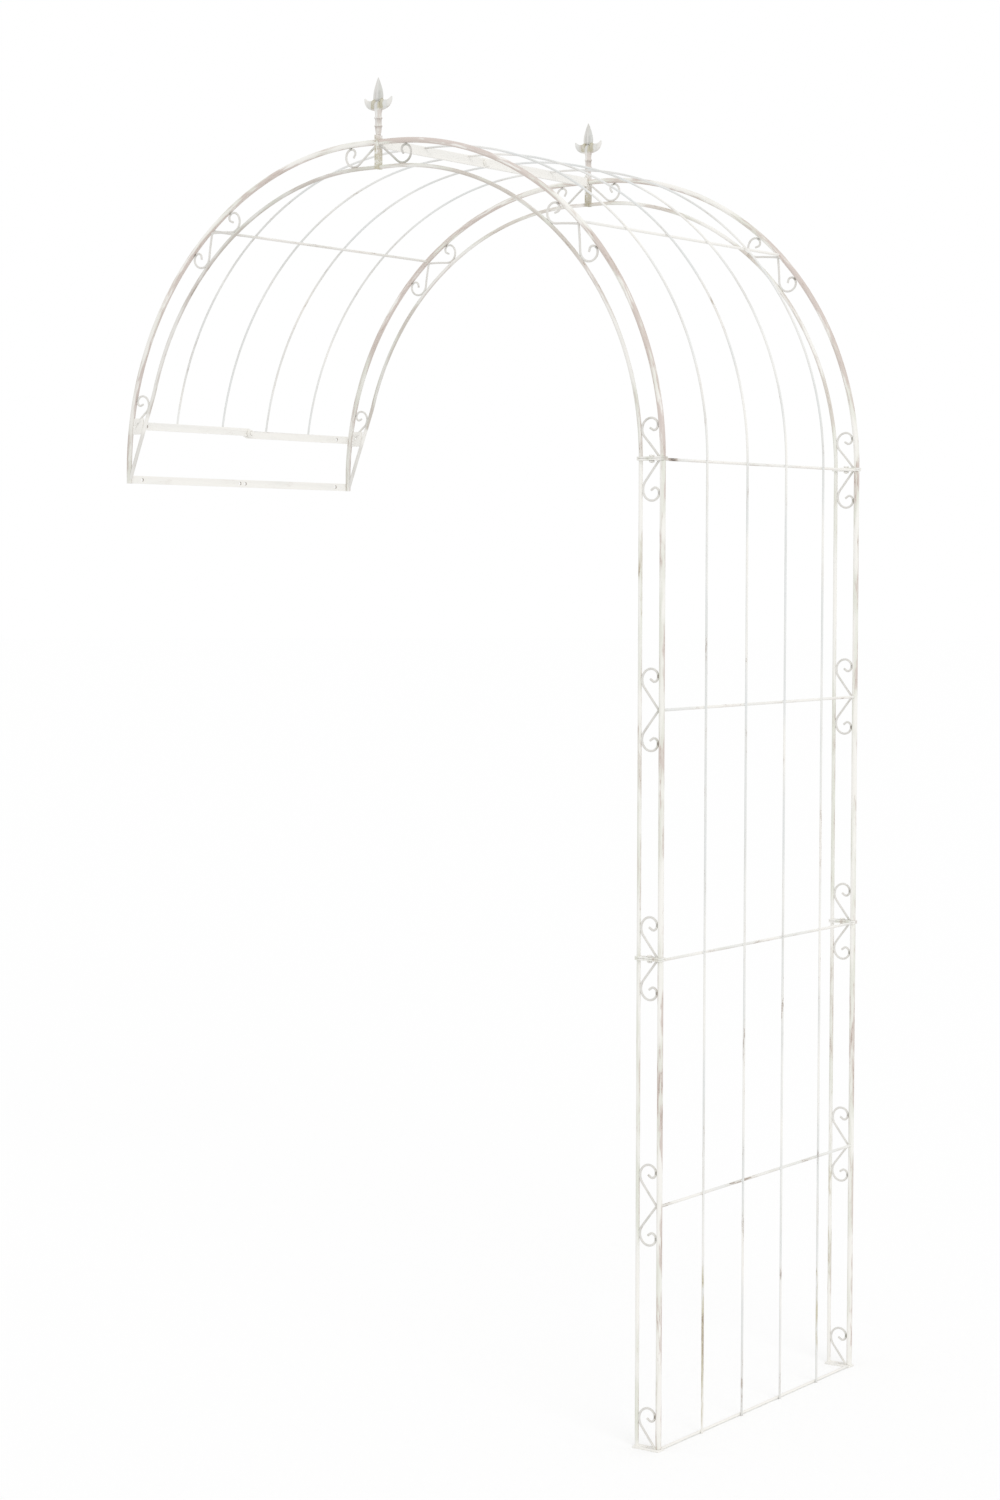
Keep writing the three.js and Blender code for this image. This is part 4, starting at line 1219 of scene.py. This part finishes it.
def screw_pair(name, size, stack, matrix):
    """Hexagon bolt with its flange and thread, and its nut; its seat is at z = 0, head above."""
    fit = arch_sizes()[0].fit
    radius, flange, head, nut = (size[key] for key in ("radius", "flange", "head", "nut"))
    head_low = flange * 0.6
    on_top = head - TOUCH
    top = hexagon(
        "head", size["flats"], head_low, head - head_low,
        lambda a, b: a.z > on_top and b.z > on_top, head * 0.16,
    )
    rim = ((0.0, 0.97), (0.4, 1.0), (0.75, 0.97), (1.0, 0.86))
    profile = [(flange * up, size["flange_radius"] * out) for up, out in rim]
    skirt = turned(profile, TUBE_SIDES)

    end = -(stack + nut + size["tail"] + 2 * fit)
    root, pitch = radius * 0.9, radius * 0.28
    z = -stack
    profile = [(0.0, radius * 0.97), (z, radius * 0.97)]
    while z - pitch > end + 0.2 * MM:
        profile += [(z - pitch * 0.5, root), (z - pitch, radius * 0.99)]
        z -= pitch
    profile.append((end, root * 0.85))
    bolt = join(f"{name}_screw", [top, skirt, turned(profile, SHANK_SIDES)])
    bolt.data.transform(matrix)
    show(bolt, "fastener_paint", [f"{name}_bolt"], "up", seed=5.0)

    low = -stack - 2 * fit - nut
    lock = hexagon("nut", size["flats"], low, nut, lambda a, b: abs(a.z - b.z) < TOUCH, nut * 0.12)
    cut(lock, [drill((0.0, 0.0, low + nut / 2), radius + fit, "Z", LONG_DRILL)])
    rename(lock, f"{name}_hexagon_nut")
    lock.data.transform(matrix)
    show(lock, "fastener_paint", [f"{name}_nut"], "up", seed=6.0)


def fasteners():
    """Bolts and nuts of the leg joints, the crown bars and the lap of the high wall bar."""
    sizes, line = arch_sizes()
    fit, plate = sizes.fit, sizes.plate_thickness
    stack = 2 * plate + fit
    x = line.half - sizes.rail_gap / 2
    for place, way in (("front", -1), ("back", 1)):
        for level, z in (("middle", line.joint), ("springing", line.springing)):
            seat = Matrix.Translation((x, way * line.frame_y, z + 2 * fit + plate))
            screw_pair(f"{place}_{level}", JOINT_BOLT, stack, seat)
    z = line.crown + sizes.crown_bar_lift - sizes.crown_bar_height / 2
    seat = Matrix.Translation((plate + 1.5 * fit, -sizes.crown_bolt_y, z))
    screw_pair("crown", BAR_BOLT, stack, seat @ Matrix.Rotation(math.pi / 2, 4, "Y"))
    x = -line.place(line.rise_to_run(sizes.high_bar_rise))[0] - sizes.tube_radius - 2 * fit
    seat = Matrix.Translation((x, sizes.lap_bolt_y, line.springing + sizes.high_bar_rise))
    stack = 2 * sizes.wall_bar_thickness + fit
    screw_pair("wall_lap", BAR_BOLT, stack, seat @ Matrix.Rotation(-math.pi / 2, 4, "Y"))


# Studio
def studio():
    """Camera at the photographed view, pale floor and soft light."""
    scene = bpy.context.scene
    paints = scene.arch_paints
    scene.view_settings.view_transform = "Standard"

    camera = bpy.data.cameras.new("view")
    camera.lens = 71.69
    camera.sensor_width = 36.0
    azimuth, elevation, roll = 0.62003, 0.06021, 0.00136
    level = math.cos(elevation)
    ahead = Vector((-math.sin(azimuth) * level, math.cos(azimuth) * level, -math.sin(elevation)))
    right = ahead.cross(Vector((0, 0, 1))).normalized()
    up = right.cross(ahead)
    sine, cosine = math.sin(roll), math.cos(roll)
    axes = Matrix((right * cosine + up * sine, up * cosine - right * sine, -ahead)).transposed()
    stand = bpy.data.objects.new("view", camera)
    scene.collection.objects.link(stand)
    place = (3.28744, -4.56487, 1.49756)
    stand.matrix_world = Matrix.Translation(place) @ axes.to_4x4()
    scene.camera = stand

    # Even white light, and plain white wherever the camera or a reflection looks past the arch
    scene.world = bpy.data.worlds.new("studio")
    shade = Shade(scene.world)
    camera_ray, glossy, through = (
        shade.node("ShaderNodeLightPath", {}, {}, f"Is {kind} Ray")
        for kind in ("Camera", "Glossy", "Transmission")
    )
    soft, plain = (
        shade.node("ShaderNodeBackground", {}, {"Color": (1.0, 1.0, 1.0, 1.0), "Strength": power})
        for power in (0.88, 1.0)
    )
    values = {"Fac": camera_ray.most(glossy).most(through), 1: soft, 2: plain}
    mixed = shade.node("ShaderNodeMixShader", {}, values)
    shade.node("ShaderNodeOutputWorld", {}, {"Surface": mixed})

    light = bpy.data.lights.new("key", "SUN")
    light.energy = 0.5
    light.angle = math.radians(30.0)
    lamp = bpy.data.objects.new("key", light)
    scene.collection.objects.link(lamp)
    towards = Vector((-0.72, 0.5, -0.5))
    lamp.rotation_euler = towards.to_track_quat("-Z", "Y").to_euler()

    bpy.ops.object.select_all(action="DESELECT")
    bpy.ops.mesh.primitive_circle_add(
        vertices=96, radius=60.0, fill_type="NGON", location=(0, 0, 0)
    )
    edit_all()
    bpy.ops.mesh.inset(thickness=50.0)
    floor = close_piece("studio_floor")
    shade = Shade(bpy.data.materials.new("floor"))
    camera_ray = shade.node("ShaderNodeLightPath", {}, {}, "Is Camera Ray")
    floor.data.materials.append(shade.surface({
        "Base Color": (*paints.floor, 1.0),
        "Roughness": 0.9,
        "Specular IOR Level": 0.0,
        "Emission Color": shade.blend(camera_ray, (0.0, 0.0, 0.0), (paints.floor_glow,) * 3),
        "Emission Strength": 1.0,
    }))


# Operators
class ARCH_OT_studio(bpy.types.Operator):
    """Puts up the camera at the photographed view, the pale floor and the soft light"""

    bl_idname = "arch.studio"
    bl_label = "Studio"
    bl_options = {"REGISTER", "UNDO"}

    def execute(self, context):
        studio()
        return {"FINISHED"}


class ARCH_OT_outer_tubes(bpy.types.Operator):
    """Makes the outer tubes of the two frames"""

    bl_idname = "arch.outer_tubes"
    bl_label = "Outer tubes"
    bl_options = {"REGISTER", "UNDO"}

    def execute(self, context):
        outer_tubes()
        return {"FINISHED"}


class ARCH_OT_frame_rails(bpy.types.Operator):
    """Makes the inner rails with their plates, scrolls and welds"""

    bl_idname = "arch.frame_rails"
    bl_label = "Rails and scrolls"
    bl_options = {"REGISTER", "UNDO"}

    def execute(self, context):
        frame_rails()
        return {"FINISHED"}


class ARCH_OT_climbing_rods(bpy.types.Operator):
    """Makes the thin rods over the crossbars"""

    bl_idname = "arch.climbing_rods"
    bl_label = "Climbing rods"
    bl_options = {"REGISTER", "UNDO"}

    def execute(self, context):
        climbing_rods()
        return {"FINISHED"}


class ARCH_OT_crossbars(bpy.types.Operator):
    """Makes the round bars across the arch"""

    bl_idname = "arch.crossbars"
    bl_label = "Crossbars"
    bl_options = {"REGISTER", "UNDO"}

    def execute(self, context):
        crossbars()
        return {"FINISHED"}


class ARCH_OT_flat_bars(bpy.types.Operator):
    """Makes the crown bars and the wall bars"""

    bl_idname = "arch.flat_bars"
    bl_label = "Flat bars"
    bl_options = {"REGISTER", "UNDO"}

    def execute(self, context):
        flat_bars()
        return {"FINISHED"}


class ARCH_OT_finials(bpy.types.Operator):
    """Makes the two leaf finials"""

    bl_idname = "arch.finials"
    bl_label = "Finials"
    bl_options = {"REGISTER", "UNDO"}

    def execute(self, context):
        finials()
        return {"FINISHED"}


class ARCH_OT_fasteners(bpy.types.Operator):
    """Makes the bolts and nuts"""

    bl_idname = "arch.fasteners"
    bl_label = "Bolts and nuts"
    bl_options = {"REGISTER", "UNDO"}

    def execute(self, context):
        fasteners()
        return {"FINISHED"}


OPERATORS = [
    ARCH_OT_studio,
    ARCH_OT_outer_tubes,
    ARCH_OT_frame_rails,
    ARCH_OT_climbing_rods,
    ARCH_OT_crossbars,
    ARCH_OT_flat_bars,
    ARCH_OT_finials,
    ARCH_OT_fasteners,
]


class ARCH_PT_panel(bpy.types.Panel):
    """Lists the makers and the sizes and paints they use"""

    bl_idname = "ARCH_PT_panel"
    bl_label = "Garden Arch"
    bl_space_type = "VIEW_3D"
    bl_region_type = "UI"
    bl_category = "Arch"

    def draw(self, context):
        layout = self.layout
        for maker in OPERATORS:
            layout.operator(maker.bl_idname)
        for group in (context.scene.arch_sizes, context.scene.arch_paints):
            column = layout.column(align=True)
            for key in group.bl_rna.properties.keys():
                if key not in {"rna_type", "name"}:
                    column.prop(group, key)


CLASSES = [ArchSizes, ArchPaints, *OPERATORS, ARCH_PT_panel]


def register():
    for item in CLASSES:
        bpy.utils.register_class(item)
    bpy.types.Scene.arch_sizes = PointerProperty(type=ArchSizes)
    bpy.types.Scene.arch_paints = PointerProperty(type=ArchPaints)


def unregister():
    del bpy.types.Scene.arch_paints
    del bpy.types.Scene.arch_sizes
    for item in reversed(CLASSES):
        bpy.utils.unregister_class(item)


def main():
    register()
    for maker in OPERATORS:
        getattr(bpy.ops.arch, maker.bl_idname.partition(".")[2])()


if __name__ == "__main__":
    main()
